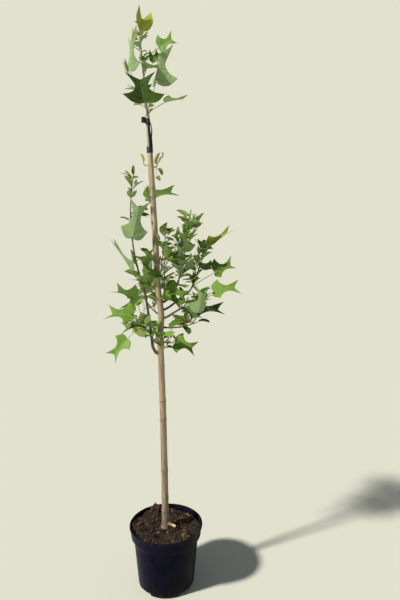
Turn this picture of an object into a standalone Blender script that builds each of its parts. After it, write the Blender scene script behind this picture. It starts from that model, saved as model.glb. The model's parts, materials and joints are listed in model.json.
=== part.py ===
"""A grafted tulip-tree sapling in a nursery pot: pot, compost, stem, binding, side branches and foliage.

Metres and degrees, +Z up. The origin is the centre of the pot's flat underside. +X is the tree's right and
-Y its front. A compass bearing of 0 is +X, 90 is +Y (the back), 180 is -X and 270 is the front.
Each foliage node is one fused solid: a stem, its sprigs, its leaf stalks and its leaves.
"""
import math
import random
from collections import namedtuple

import bmesh
import bpy
from mathutils import Matrix, Vector
from mathutils.bvhtree import BVHTree

# Driving dimensions
GAP = 0.0003                # between touching pieces

POT_HEIGHT = 0.208
POT_RIM_RADIUS = 0.125
POT_LIP = 0.0018            # rounding of the rim
POT_WALL = 0.0028
POT_FLOOR = 0.003
POT_COLLAR_FOOT = 0.172     # height at which the collar ends and the shoulder starts
POT_COLLAR_RADIUS = 0.1195
POT_SHOULDER_FOOT = 0.154
POT_SHOULDER_RADIUS = 0.108
POT_CORNER = 0.009          # height of the base corner
POT_BODY_RADIUS = 0.0958    # just above the base corner
POT_BASE_RADIUS = 0.090
POT_SEGMENTS = 48
SLOTS = 4                   # drainage slots through the base corner
SLOT_WIDTH = 0.052
SLOT_HEIGHT = 0.011
SLOT_INNER_RADIUS = 0.074

COMPOST_LEVEL = 0.192       # the seat under the stem
COMPOST_EDGE_DROP = 0.003
COMPOST_SLACK = 0.0006      # between the compost and the pot's inside
COMPOST_FOOT_RADIUS = 0.068
COMPOST_CORNER = 0.019
COMPOST_RINGS = 5
COMPOST_SEGMENTS = 32
SEAT_RADIUS = 0.022
LUMP_HEIGHT = 0.0035
CHUNK_BEARING = 104         # a piece of bark that stands up out of the compost
CHUNK_REACH = 0.086
CHUNK_RADIUS = 0.017
CHUNK_HEIGHT = 0.026

TRUNK_FOOT_X = -0.002
TRUNK_FOOT = COMPOST_LEVEL + GAP
TRUNK_TOP = 1.575
TRUNK_LEAN = -0.0362        # sideways travel for each metre of height
TRUNK_BOW = 0.010
TRUNK_SWAY = 0.004          # towards the back and the front
KINK_HEIGHT = 0.930
KINK_SHIFT = 0.007
KINK_SPAN = 0.050
FLARE = 0.0040              # added radius at the root flare
FLARE_SPAN = 0.014
TRUNK_RADII = ((0.19, 0.0118), (0.45, 0.0110), (0.85, 0.0104), (1.20, 0.0098), (1.44, 0.0092),
               (1.49, 0.0070), (1.575, 0.0050))
TRUNK_STEP = 0.040
SCARS = (0.250, 0.296, 0.396, 0.574, 0.637, 1.105, 1.345)
SCAR_SWELL = 0.0010
SCAR_SPAN = 0.007

TAPE_THICKNESS = 0.0014
TAPE_WINDINGS = ((1.455, 1.478), (1.543, 1.568))
TAPE_SIDES = 16
TAPE_STRAND_RADIUS = 0.0034
TAPE_STRAND_BULGE = 0.0026
TAPE_TAB = (0.0160, 0.0026, 0.0230)

COLLAR = 0.005              # a limb's first stretch, on its root's heading
COLLAR_TURN = 0.008         # length over which it then turns to its own
LIMB_STEP = 0.022

# Half of a leaf's outline: how far across and how far along each corner lies, in blade lengths.
# MIDRIB is where the corners' ribs leave the middle of the leaf.
OUTLINE = ((0.38, -0.03), (0.68, 0.235), (0.22, 0.53), (0.49, 1.01))
MIDRIB = (0.0, 0.20, 0.52, 0.84)
CLEFT_OUTLINE = ((0.40, 0.08), (0.51, 0.45), (0.40, 1.0))
CLEFT_MIDRIB = (0.0, 0.24, 0.58)
YOUNG_OUTLINE = ((0.30, 0.04), (0.42, 0.34), (0.28, 0.78))
YOUNG_MIDRIB = (0.0, 0.40, 0.97)
YOUNG_BLADE = 0.058         # leaves shorter than this have the young outline
CLEFT_STALK = 0.008         # and longer ones with a shorter stalk than this have the cleft one
LEAF_THICKNESS = 1 / 50     # of the blade's length, along its midrib
LEAST_THICKNESS = 0.0009
SPINE_STEPS = 16
STALK_SUNK = 0.16           # share of the blade that its stalk runs into
STALK_RADIUS = 0.0013
STALK_TIP_RADIUS = 0.0010
CLEARANCE = 0.0015          # kept between one mass's leaves and any other piece
TRIES = 14                  # a leaf that finds no free place in this many is skipped
LEAF_TURN = 144             # from one leaf to the next up a stem
SPRIG_LEAVES = 3

Bough = namedtuple("Bough", "name height compass rise length thick tip bow sway", defaults=(0, 0))
Shoot = namedtuple("Shoot", "name root height compass rise length thick tip leaves blade stance bow sway "
                            "first lowest fold sprigs sector shown", defaults=(0, 0, 0, 0.15, 22, 0, 75, ()))
Leaf = namedtuple("Leaf", "share compass rise stalk pitch blade turn roll droop fold width",
                  defaults=(0, 0, 30, 18, 1.0))

BOUGHS = (
    Bough("cut_stub", 0.2065, 332, -6, 0.027, 0.0046, 0.0042),
    Bough("left_bough", 0.805, 196, 82.5, 0.210, 0.0052, 0.0036, bow=-4, sway=-8),
    Bough("left_low_bough", 0.868, 176, 30, 0.045, 0.0032, 0.0026, bow=10),
    Bough("right_high_bough", 0.972, 12, 52, 0.060, 0.0036, 0.0028, bow=14),
    Bough("right_outer_bough", 0.948, 24, 36, 0.110, 0.0036, 0.0026),
    Bough("right_mid_bough", 0.922, 338, 34, 0.058, 0.0040, 0.0030, bow=-12),
    Bough("right_low_bough", 0.890, 350, 4, 0.050, 0.0030, 0.0024, bow=6),
    Bough("back_bough", 0.905, 100, 46, 0.085, 0.0038, 0.0028, bow=10),
)

# Each shoot has the leaves that are stated for it, and the rule then fills the rest of its stem.
SHOOTS = (
    Shoot("leader_leaves", "trunk", TRUNK_TOP, 180, 85, 0.262, 0.0034, 0.0012, 2, 0.070, 50, bow=2,
          lowest=0.3, sector=180, shown=(
        Leaf(0.04, 258, 44, 0.040, 80, 0.094, -94, -54, 12, 16, 1.13),
        Leaf(0.03, 30, 74, 0.110, 78, 0.110, -30, -126, 30, 40),
        Leaf(0.04, 2, 36, 0.069, 14, 0.074, 0, 20, 14, 30, 0.8),
        Leaf(0.10, 188, 67, 0.138, 98, 0.114, 48, 0, 14, 30, 0.42),
        Leaf(0.34, 184, 46, 0.082, 74, 0.040, 10, 60, 20, 50, 0.5),
        Leaf(0.76, 162, 44, 0.052, 100, 0.056, 22, 40, 10, 40, 0.6),
        Leaf(0.87, 330, 50, 0.006, 54, 0.038, 20, 50, 10, 60, 0.5),
        Leaf(0.99, 60, 60, 0.006, 76, 0.072, 0, 66, 6, 36),
        Leaf(0.25, 112, 50, 0.045, 40, 0.090, 0, 0, 40, 24, 0.8),
        Leaf(0.62, 56, 47, 0.121, 27, 0.060, -68, 84, 8, 10, 0.95),
        Leaf(0.55, 28, 46, 0.050, 88, 0.040, 70, 0, 4, 20, 0.8),
        Leaf(0.60, 200, 66, 0.030, -20, 0.032, 160, 40, 20, 30, 0.7),
        Leaf(0.65, 240, 50, 0.018, 80, 0.038, 120, 0, 130, 30, 0.4),
    )),
    Shoot("right_tuft", "trunk", 1.412, 340, 60, 0.012, 0.0016, 0.0012, 0, 0.03, 40, shown=(
        Leaf(0.95, 10, 78, 0.006, 80, 0.042, 0, 30, 20, 40, 0.7),
        Leaf(0.70, 350, -50, 0.010, -54, 0.026, 0, 40, 20, 40),
        Leaf(0.50, 310, -76, 0.034, -40, 0.022, 0, 40, 20, 40),
    )),
    Shoot("left_tuft", "trunk", 1.418, 190, 78, 0.013, 0.0014, 0.0010, 0, 0.03, 40, shown=(
        Leaf(0.95, 190, 60, 0.008, 84, 0.030, 20, 0, 40, 40, 0.7),
    )),
    Shoot("upper_back_leaf", "trunk", 1.286, 110, 42, 0.042, 0.0018, 0.0014, 0, 0.03, 40, shown=(
        Leaf(0.98, 130, 34, 0.032, 18, 0.110, -124, 40, 20, 16, 0.74),
    )),
    Shoot("left_tall_leaves", "left_bough", 0, 184, 85, 0.385, 0.0032, 0.0012, 2, 0.05, 55, bow=30,
          lowest=0.5, shown=(
        Leaf(0.02, 204, 58, 0.085, 60, 0.114, 2, 0, 15, 30, 0.42),
        Leaf(0.14, 152, 40, 0.021, 30, 0.054, 13, -20, 30, 24, 0.9),
        Leaf(0.27, 190, 40, 0.013, 80, 0.048, 0, 70, 10, 50, 0.5),
        Leaf(0.44, 275, 50, 0.028, 76, 0.122, 65, -66, 18, 14, 0.56),
        Leaf(0.62, 172, 45, 0.012, 25, 0.030, 0, 0, 30, 30),
        Leaf(0.66, 14, 20, 0.030, -5, 0.036, 0, 30, 40, 20),
        Leaf(0.80, 290, 40, 0.010, 35, 0.036, 0, 0, 20, 30),
        Leaf(0.87, 12, 52, 0.020, 42, 0.034, 0, 0, 30, 60, 0.4),
        Leaf(0.90, 240, 50, 0.008, 40, 0.038, 0, 0, 20, 40, 0.8),
        Leaf(0.94, 180, 46, 0.010, 66, 0.036, 0, 30, 20, 45, 0.7),
        Leaf(0.99, 90, 70, 0.006, 80, 0.033, 0, 0, 10, 45, 0.6),
    )),
    Shoot("left_low_leaves", "left_low_bough", 0, 182, 24, 0.050, 0.0024, 0.0014, 2, 0.05, 20, shown=(
        Leaf(0.30, 192, 75, 0.102, 26, 0.072, -8, -34, 24, 30),
        Leaf(0.60, 178, 60, 0.034, 8, 0.088, 0, -48, 24, 30, 0.85),
        Leaf(0.10, 80, 14, 0.046, -8, 0.096, 100, -30, 30, 16, 0.85),
        Leaf(0.40, 192, -40, 0.062, -48, 0.084, 0, -58, 16, 16, 0.66),
        Leaf(0.30, 96, 68, 0.090, -20, 0.044, 60, -40, 20, 16),
    )),
    Shoot("left_inner_leaves", "trunk", 0.838, 222, 62, 0.060, 0.0022, 0.0012, 6, 0.048, 35, first=200),
    Shoot("left_mid_leaves", "trunk", 0.995, 205, 84, 0.150, 0.0022, 0.0010, 6, 0.050, 55, first=150,
          fold=36),
    Shoot("middle_leaves", "trunk", 0.985, 318, 88, 0.210, 0.0026, 0.0012, 6, 0.052, 55, first=30, fold=30,
          shown=(
        Leaf(0.02, 335, 40, 0.022, -28, 0.076, 0, 40, 20, 28, 0.7),
        Leaf(0.14, 345, 52, 0.026, -16, 0.068, 0, 44, 24, 20, 0.8),
        Leaf(0.99, 176, 40, 0.016, 46, 0.042, -166, 60, 20, 10, 0.9),
    )),
    Shoot("right_high_leaves", "right_high_bough", 0, 16, 78, 0.225, 0.0026, 0.0010, 12, 0.060, 66, bow=6,
          first=40, fold=36, sprigs=3, shown=(
        Leaf(0.20, 336, 54, 0.044, 40, 0.056, 10, -50, 20, 30, 0.6),
        Leaf(0.18, 316, 56, 0.040, 40, 0.050, -136, 50, 20, 30, 0.6),
        Leaf(0.42, 250, 40, 0.020, 74, 0.058, 30, 0, 20, 24, 0.62),
        Leaf(0.99, 10, 80, 0.004, 84, 0.050, 0, 30, 6, 50, 0.35),
        Leaf(0.92, 350, 18, 0.030, 80, 0.030, 0, 30, 10, 50, 0.5),
    )),
    Shoot("right_outer_leaves", "right_outer_bough", 0, 14, 70, 0.130, 0.0024, 0.0012, 6, 0.060, 45,
          first=100, shown=(
        Leaf(0.99, 10, 60, 0.036, 40, 0.104, 0, 50, 20, 50, 0.46),
        Leaf(0.10, 354, 36, 0.104, 26, 0.072, 0, 46, 10, 18),
    )),
    Shoot("right_mid_leaves", "right_mid_bough", 0, 346, 18, 0.070, 0.0028, 0.0014, 5, 0.075, 20, first=260,
          shown=(
        Leaf(0.95, 356, 36, 0.068, 14, 0.086, 0, 46, 24, 14, 0.75),
        Leaf(0.99, 280, -36, 0.046, 62, 0.092, 10, 0, 16, 42, 0.7),
    )),
    Shoot("right_low_leaves", "right_low_bough", 0, 0, 16, 0.055, 0.0022, 0.0012, 5, 0.060, 15, first=290,
          shown=(
        Leaf(0.50, 352, 62, 0.050, 14, 0.106, 0, 34, 30, 20, 0.7),
    )),
    Shoot("right_foot_leaves", "trunk", 0.838, 350, 2, 0.030, 0.0020, 0.0014, 0, 0.05, 10, shown=(
        Leaf(0.95, 352, 2, 0.010, -12, 0.074, 0, 48, 30, 16, 0.85),
        Leaf(0.40, 10, 66, 0.072, 14, 0.056, 0, 40, 20, 16),
    )),
    Shoot("front_low_leaves", "trunk", 0.818, 300, 46, 0.020, 0.0018, 0.0012, 2, 0.045, 20, first=250, shown=(
        Leaf(0.95, 264, 78, 0.034, 30, 0.054, 56, 50, 20, 26, 0.7),
    )),
    Shoot("back_leaves", "back_bough", 0, 96, 38, 0.110, 0.0026, 0.0012, 8, 0.088, 25, first=20),
    Shoot("back_high_leaves", "trunk", 1.040, 78, 66, 0.130, 0.0026, 0.0012, 7, 0.070, 45, first=60),
    Shoot("back_left_leaves", "trunk", 0.935, 142, 40, 0.110, 0.0026, 0.0012, 6, 0.080, 25, first=120),
)


def heading(compass, rise):
    """The unit vector along a compass bearing that rises from level, both in degrees."""
    turn, climb = math.radians(compass), math.radians(rise)
    return Vector((math.cos(turn) * math.cos(climb), math.sin(turn) * math.cos(climb), math.sin(climb)))


def trunk_centre(z):
    """The middle of the trunk at height z."""
    share = (z - TRUNK_FOOT) / (TRUNK_TOP - TRUNK_FOOT)
    kink = KINK_SHIFT * math.exp(-((z - KINK_HEIGHT) / KINK_SPAN) ** 2)
    x = TRUNK_FOOT_X + TRUNK_LEAN * (z - TRUNK_FOOT) + TRUNK_BOW * math.sin(math.pi * share) + kink
    return Vector((x, TRUNK_SWAY * math.sin(2.6 * math.pi * share), z))


def trunk_radius(z):
    """The trunk's radius at height z, with its flare at the root and a slight swelling at each scar."""
    for (low, low_radius), (high, high_radius) in zip(TRUNK_RADII, TRUNK_RADII[1:]):
        if z <= high:
            break
    radius = low_radius + (high_radius - low_radius) * (z - low) / (high - low)
    radius += FLARE * math.exp(-(z - TRUNK_FOOT) / FLARE_SPAN)
    return radius + SCAR_SWELL * sum(math.exp(-((z - scar) / SCAR_SPAN) ** 2) for scar in SCARS)


def trunk_path():
    """Points and radii up the trunk. The first stretch is upright, so that the cut at its foot is level."""
    heights = [TRUNK_FOOT + TRUNK_STEP * i for i in range(1, int((TRUNK_TOP - TRUNK_FOOT) / TRUNK_STEP))]
    heights = [z for z in heights if min(abs(z - scar) for scar in SCARS) > 2 * SCAR_SPAN]
    heights += [scar + side * SCAR_SPAN for scar in SCARS for side in (-1.5, 0, 1.5)]
    heights += [TRUNK_FOOT + FLARE_SPAN, TRUNK_RADII[-3][0], TRUNK_RADII[-2][0], TRUNK_TOP]
    foot = trunk_centre(TRUNK_FOOT)
    lift = Vector((0, 0, FLARE_SPAN / 4))
    path = [foot, foot + lift] + [trunk_centre(z) for z in sorted(heights)]
    return path, [trunk_radius(point.z) for point in path]


def trunk_at(z):
    """The middle, the direction and the radius of the trunk as built, at height z."""
    path, radii = trunk_path()
    i = next(i for i in range(1, len(path)) if path[i].z >= z)
    share = (z - path[i - 1].z) / (path[i].z - path[i - 1].z)
    up = (path[i] - path[i - 1]).normalized()
    return path[i - 1].lerp(path[i], share), up, radii[i - 1] + (radii[i] - radii[i - 1]) * share


def trunk_side(limb):
    """Where a limb starts, just clear of the trunk's side, and the compass and rise square to that side."""
    centre, up, radius = trunk_at(limb.height)
    radius = max(radius, trunk_at(limb.height - limb.thick)[2])
    out = heading(limb.compass, 0)
    out = (out - out.dot(up) * up).normalized()
    root = (math.degrees(math.atan2(out.y, out.x)), math.degrees(math.asin(out.z)))
    return centre + out * (radius + GAP), root


def limb_path(start, root, limb):
    """Points and radii along a limb: a short collar on its root's heading, then a turn to the limb's own."""
    steps = max(3, round(limb.length / LIMB_STEP))
    step = (limb.length - COLLAR) / steps
    path = [start, start + COLLAR * heading(*root)]
    for i in range(steps):
        share = (i + 0.5) / steps
        rooted = math.exp(-(i + 0.5) * step / COLLAR_TURN)
        rise = limb.rise + limb.bow * (share - 0.5)
        compass = limb.compass + limb.sway * share
        across = (root[0] - compass + 180) % 360 - 180
        path.append(path[-1] + step * heading(compass + across * rooted, rise + (root[1] - rise) * rooted))
    return path, [limb.thick] + [limb.thick + (limb.tip - limb.thick) * i / steps for i in range(steps + 1)]


def along(path, share):
    """The point at a share of a path's steps."""
    place = min(share, 0.9999) * (len(path) - 1)
    i = int(place)
    return path[i].lerp(path[i + 1], place - i)


def rooted_path(limb, boughs):
    """The path of a limb, which starts clear of the trunk or of the bough that it grows from."""
    root = getattr(limb, "root", "trunk")
    if root != "trunk":
        path = boughs[root][0]
        last = (path[-1] - path[-2]).normalized()
        bearing = math.degrees(math.atan2(last.y, last.x))
        return limb_path(path[-1] + last * GAP, (bearing, math.degrees(math.asin(last.z))), limb)
    if limb.height >= TRUNK_TOP:
        last = (trunk_centre(TRUNK_TOP) - trunk_centre(TRUNK_TOP - TRUNK_STEP)).normalized()
        root = (limb.compass, math.degrees(math.asin(last.z)))
        return limb_path(trunk_centre(TRUNK_TOP) + last * GAP, root, limb)
    return limb_path(*trunk_side(limb), limb)


def tube_shell(path, radii, sides=6):
    """The corners and faces of a plain tube, for telling whether something touches a limb."""
    corners, faces = [], []
    for i, point in enumerate(path):
        run = (path[min(i + 1, len(path) - 1)] - path[max(i - 1, 0)]).normalized()
        side = run.orthogonal().normalized()
        for k in range(sides):
            corners.append(point + radii[i] * (Matrix.Rotation(math.tau * k / sides, 3, run) @ side))
    for i in range(len(path) - 1):
        for k in range(sides):
            a, b = i * sides + k, i * sides + (k + 1) % sides
            faces.append((a, b, b + sides, a + sides))
    return corners, faces


def blade_frame(leaf, joint):
    """How a blade is set: the direction across it, and its spine as points with headings and normals."""
    compass = leaf.compass + leaf.turn
    run = heading(compass, leaf.pitch)
    level = heading(compass - 90, 0)
    twist = Matrix.Rotation(math.radians(leaf.roll), 3, run)
    across, up = twist @ level, twist @ level.cross(run)
    spine, point = [], Vector(joint)
    for i in range(SPINE_STEPS + 1):
        bend = math.radians(leaf.droop) * (i / SPINE_STEPS) ** 1.6
        ahead, normal = run * math.cos(bend) - up * math.sin(bend), up * math.cos(bend) + run * math.sin(bend)
        spine.append((point.copy(), ahead, normal))
        point += ahead * (leaf.blade / SPINE_STEPS)
    return across, spine


def on_blade(leaf, frame, x, y, lift=0.0):
    """The place of a point of the blade: x across and y along in blade lengths, and lift above it."""
    across, spine = frame
    i = max(0, min(SPINE_STEPS, int(y * SPINE_STEPS)))
    point, ahead, normal = spine[i]
    fold = math.radians(leaf.fold)
    x *= leaf.blade * leaf.width
    reach = leaf.blade * (y - i / SPINE_STEPS)
    return point + ahead * reach + across * (x * math.cos(fold)) + normal * (abs(x) * math.sin(fold) + lift)


def outline_of(leaf):
    """The half outline of a leaf and the places on its midrib: young, cleft or lobed."""
    if leaf.blade < YOUNG_BLADE:
        return YOUNG_OUTLINE, YOUNG_MIDRIB
    if leaf.stalk < CLEFT_STALK:
        return CLEFT_OUTLINE, CLEFT_MIDRIB
    return OUTLINE, MIDRIB


def blade_shell(leaf, frame, margin=0.0):
    """The corners and faces of a blade: thick along its midrib and sharp at its edge."""
    outline, midrib = outline_of(leaf)
    half = max(LEAST_THICKNESS, leaf.blade * LEAF_THICKNESS) / 2 + margin
    grow = 1 + margin / leaf.blade
    corners = [on_blade(leaf, frame, 0, midrib[-1] * grow)]
    for y in midrib[:-1]:
        corners += [on_blade(leaf, frame, 0, y, half), on_blade(leaf, frame, 0, y, -half)]
    edge = {}
    for side in (-1, 1):
        edge[side] = range(len(corners), len(corners) + len(outline))
        corners += [on_blade(leaf, frame, side * x * grow, y * grow) for x, y in outline]
    faces = [(2, edge[1][0], 1), (1, edge[-1][0], 2)]
    for face in (0, 1):
        rib = [1 + 2 * i + face for i in range(len(midrib) - 1)] + [0]
        for side in (-1, 1):
            at = 0
            strip = []
            for i, corner in enumerate(edge[side]):
                while at < len(rib) - 2 and outline[i][1] > (midrib[at] + midrib[at + 1]) / 2:
                    strip.append((rib[at], corner, rib[at + 1]))
                    at += 1
                if i + 1 < len(outline):
                    strip.append((rib[at], corner, corner + 1))
            while at < len(rib) - 1:
                strip.append((rib[at], edge[side][-1], rib[at + 1]))
                at += 1
            faces += [tri if (side > 0) == (face == 0) else tri[::-1] for tri in strip]
    return corners, faces


def in_space(shoot, corners):
    """True if all the corners lie in the shoot's own sector round the trunk."""
    for corner in corners:
        off = corner - trunk_centre(min(corner.z, TRUNK_TOP))
        bearing = math.degrees(math.atan2(off.y, off.x))
        if abs((bearing - shoot.compass + 180) % 360 - 180) > shoot.sector:
            return False
    return True


def grown(shoot, count, blade, lowest, seed):
    """The leaves that the rule gives a stem: each a fixed turn on from the last, longest near the middle."""
    for i in range(count):
        share = lowest + (1 - lowest) * (i + 0.6) / count
        size = blade * (1.12 - 0.55 * abs(share - 0.45) / 0.55)
        for attempt in range(TRIES):
            draw = random.Random(f"{seed} {i} {attempt}")
            loose = 1 + attempt / 5
            yield i, Leaf(
                share=min(0.99, share + draw.uniform(-0.03, 0.03)),
                compass=shoot.first + LEAF_TURN * i + draw.uniform(-22, 22) * loose,
                rise=shoot.stance + draw.uniform(-10, 16),
                stalk=size * draw.uniform(0.35, 0.6),
                pitch=shoot.stance - 22 + draw.uniform(-18, 18) * loose,
                blade=size * draw.uniform(0.85, 1.12),
                turn=draw.uniform(-16, 16),
                roll=draw.uniform(-26, 26) * loose,
                droop=draw.uniform(18, 46),
                fold=shoot.fold * draw.uniform(0.6, 1.3),
                width=draw.uniform(0.74, 0.98),
            )


def nudged(leaf, number, seed):
    """A stated leaf as it is, and then turned a little more at each try."""
    yield number, leaf
    for attempt in range(1, TRIES):
        draw = random.Random(f"{seed} {number} {attempt}")
        yield number, leaf._replace(compass=leaf.compass + draw.uniform(-3, 3) * attempt,
                                    pitch=leaf.pitch + draw.uniform(-2, 2) * attempt,
                                    roll=leaf.roll + draw.uniform(-3, 3) * attempt)


class Growth:
    """Every limb and leaf that has been given a place, and what each would touch."""

    def __init__(self):
        self.taken = []     # (the mass or limb, its tree)
        self.placed = {}    # the mass: its leaves, as (leaf, foot, joint, frame)

    def add(self, owner, shell):
        self.taken.append((owner, BVHTree.FromPolygons(*shell)))

    def place(self, shoot, path, candidates, stated=False):
        """Gives the first candidate of each leaf that touches nothing, in its mass's own space, its place."""
        owner, done = shoot.name, set()
        for number, leaf in candidates:
            if number in done:
                continue
            foot = along(path, leaf.share)
            joint = foot + heading(leaf.compass, leaf.rise) * leaf.stalk
            frame = blade_frame(leaf, joint)
            sunk = on_blade(leaf, frame, 0, STALK_SUNK)
            shell = blade_shell(leaf, frame, CLEARANCE)
            blade = BVHTree.FromPolygons(*shell)
            stalk = BVHTree.FromPolygons(*tube_shell([foot, sunk], [STALK_RADIUS + CLEARANCE] * 2))
            clash = any(tree.overlap(blade) or (other != owner and tree.overlap(stalk))
                        for other, tree in self.taken)
            if clash or not (stated or in_space(shoot, [joint, *shell[0]])):
                continue
            self.taken += [(owner, blade), (owner, stalk)]
            self.placed.setdefault(owner, []).append((leaf, foot, joint, frame))
            done.add(number)


def sprig_of(shoot, stem, number):
    """A side twig of a shoot, part of the way up its stem."""
    share = 0.25 + 0.6 * (number + 0.5) / shoot.sprigs
    draw = random.Random(f"{shoot.name} sprig {number}")
    limb = Bough("sprig", 0, shoot.first + 70 + 130 * number, 58 + draw.uniform(-8, 8),
                 shoot.length * draw.uniform(0.24, 0.34), shoot.tip * 1.25, shoot.tip * 0.8, bow=16)
    return limb_path(along(stem, share), (limb.compass, limb.rise - 20), limb)


def grow_crown():
    """The paths of the boughs, stems and sprigs, and the leaves, each with its place."""
    growth = Growth()
    boughs = {bough.name: rooted_path(bough, {}) for bough in BOUGHS}
    stems = {shoot.name: rooted_path(shoot, boughs) for shoot in SHOOTS}
    sprigs = {shoot.name: [sprig_of(shoot, stems[shoot.name][0], n) for n in range(shoot.sprigs)]
              for shoot in SHOOTS}
    for name, (path, radii) in [("trunk", trunk_path()), *boughs.items(), *stems.items()]:
        growth.add(name, tube_shell(path, radii))
    for shoot in SHOOTS:
        for path, radii in sprigs[shoot.name]:
            growth.add(shoot.name, tube_shell(path, radii))
    for shoot in SHOOTS:
        for number, leaf in enumerate(shoot.shown):
            growth.place(shoot, stems[shoot.name][0], nudged(leaf, number, shoot.name), stated=True)
    for shoot in SHOOTS:
        growth.place(shoot, stems[shoot.name][0],
                     grown(shoot, shoot.leaves, shoot.blade, shoot.lowest, shoot.name))
        for number, (path, radii) in enumerate(sprigs[shoot.name]):
            growth.place(shoot, path, grown(shoot, SPRIG_LEAVES, shoot.blade * 0.8, 0.4,
                                            f"{shoot.name} sprig {number}"))
    return boughs, stems, sprigs, growth.placed


def clear_scene():
    for leftover in list(bpy.data.objects):
        bpy.data.objects.remove(leftover, do_unlink=True)


def finish(name, colour, roughness):
    """A plain Principled material."""
    material = bpy.data.materials.new(name)
    material.use_nodes = True
    shader = material.node_tree.nodes["Principled BSDF"]
    shader.inputs["Base Color"].default_value = (*colour, 1)
    shader.inputs["Roughness"].default_value = roughness
    shader.inputs["Metallic"].default_value = 0
    return material


def in_collection(name):
    made = bpy.data.collections.new(name)
    bpy.context.scene.collection.children.link(made)
    return made


def mesh_object(name, corners, faces, material, where):
    mesh = bpy.data.meshes.new(name)
    mesh.from_pydata([tuple(corner) for corner in corners], [], faces)
    mesh.materials.append(material)
    made = bpy.data.objects.new(name, mesh)
    where.objects.link(made)
    return made


def evaluated_mesh(source, name):
    """A source object's finished mesh with its loose caps welded."""
    bpy.context.view_layer.update()
    mesh = bpy.data.meshes.new_from_object(source.evaluated_get(bpy.context.evaluated_depsgraph_get()))
    mesh.name = name
    work = bmesh.new()
    work.from_mesh(mesh)
    bmesh.ops.remove_doubles(work, verts=work.verts, dist=0.00001)
    bmesh.ops.recalc_face_normals(work, faces=work.faces)
    work.to_mesh(mesh)
    work.free()
    return mesh


def limb_object(name, path, radii, resolution, material, where):
    """A tapering round limb: a bevelled curve through the path's points, made a closed mesh."""
    curve = bpy.data.curves.new(name, "CURVE")
    curve.dimensions = "3D"
    curve.bevel_depth = 1.0
    curve.bevel_resolution = resolution
    curve.use_fill_caps = True
    spline = curve.splines.new("POLY")
    spline.points.add(len(path) - 1)
    for point, place, radius in zip(spline.points, path, radii):
        point.co = (*place, 1)
        point.radius = radius
    guide = bpy.data.objects.new(name + "_guide", curve)
    where.objects.link(guide)
    mesh = evaluated_mesh(guide, name)
    mesh.materials.clear()
    mesh.materials.append(material)
    bpy.data.objects.remove(guide, do_unlink=True)
    bpy.data.curves.remove(curve)
    limb = bpy.data.objects.new(name, mesh)
    where.objects.link(limb)
    return limb


def is_one_body(mesh):
    """True if the mesh is closed and its faces all hang together by their edges."""
    work = bmesh.new()
    work.from_mesh(mesh)
    closed = all(edge.is_manifold for edge in work.edges)
    reached, ahead = set(), [next(iter(work.faces))]
    while ahead:
        face = ahead.pop()
        if face.index not in reached:
            reached.add(face.index)
            ahead += [other for edge in face.edges for other in edge.link_faces]
    whole = len(reached) == len(work.faces)
    work.free()
    return closed and whole


def fuse(base, others, operation="UNION"):
    """Joins a collection's objects to a base, or cuts them from it, and removes them."""
    boolean = base.modifiers.new("fuse", "BOOLEAN")
    boolean.operation = operation
    boolean.operand_type = "COLLECTION"
    boolean.collection = others
    for solver in ("EXACT", "MANIFOLD"):
        boolean.solver = solver
        mesh = evaluated_mesh(base, base.name)
        if is_one_body(mesh):
            break
    base.modifiers.clear()
    base.data = mesh
    for piece in list(others.objects):
        bpy.data.objects.remove(piece, do_unlink=True)
    bpy.data.collections.remove(others)
    return base


def smooth(piece, angle=40):
    piece.data.shade_smooth()
    piece.data.set_sharp_from_angle(angle=math.radians(angle))


def turned(name, profile, segments, material, where):
    """A profile of (radius, height) pairs turned about the upright axis."""
    piece = mesh_object(name, [(radius, 0, z) for radius, z in profile], [], material, where)
    work = bmesh.new()
    work.from_mesh(piece.data)
    work.verts.ensure_lookup_table()
    for i in range(len(profile) - 1):
        work.edges.new((work.verts[i], work.verts[i + 1]))
    work.to_mesh(piece.data)
    work.free()
    screw = piece.modifiers.new("turn", "SCREW")
    screw.steps = screw.render_steps = segments
    screw.use_merge_vertices = True
    screw.merge_threshold = 0.0001
    piece.data = evaluated_mesh(piece, name)
    piece.modifiers.clear()
    return piece


def pot_inside():
    """The inside of the pot from its floor to just under the lip, as (radius, height) pairs."""
    return ((POT_BODY_RADIUS - POT_WALL - 0.004, POT_FLOOR),
            (POT_BODY_RADIUS - POT_WALL, POT_FLOOR + POT_CORNER),
            (POT_SHOULDER_RADIUS - POT_WALL, POT_SHOULDER_FOOT),
            (POT_COLLAR_RADIUS - POT_WALL, POT_COLLAR_FOOT),
            (POT_RIM_RADIUS - POT_LIP - POT_WALL, POT_HEIGHT - POT_LIP))


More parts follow.
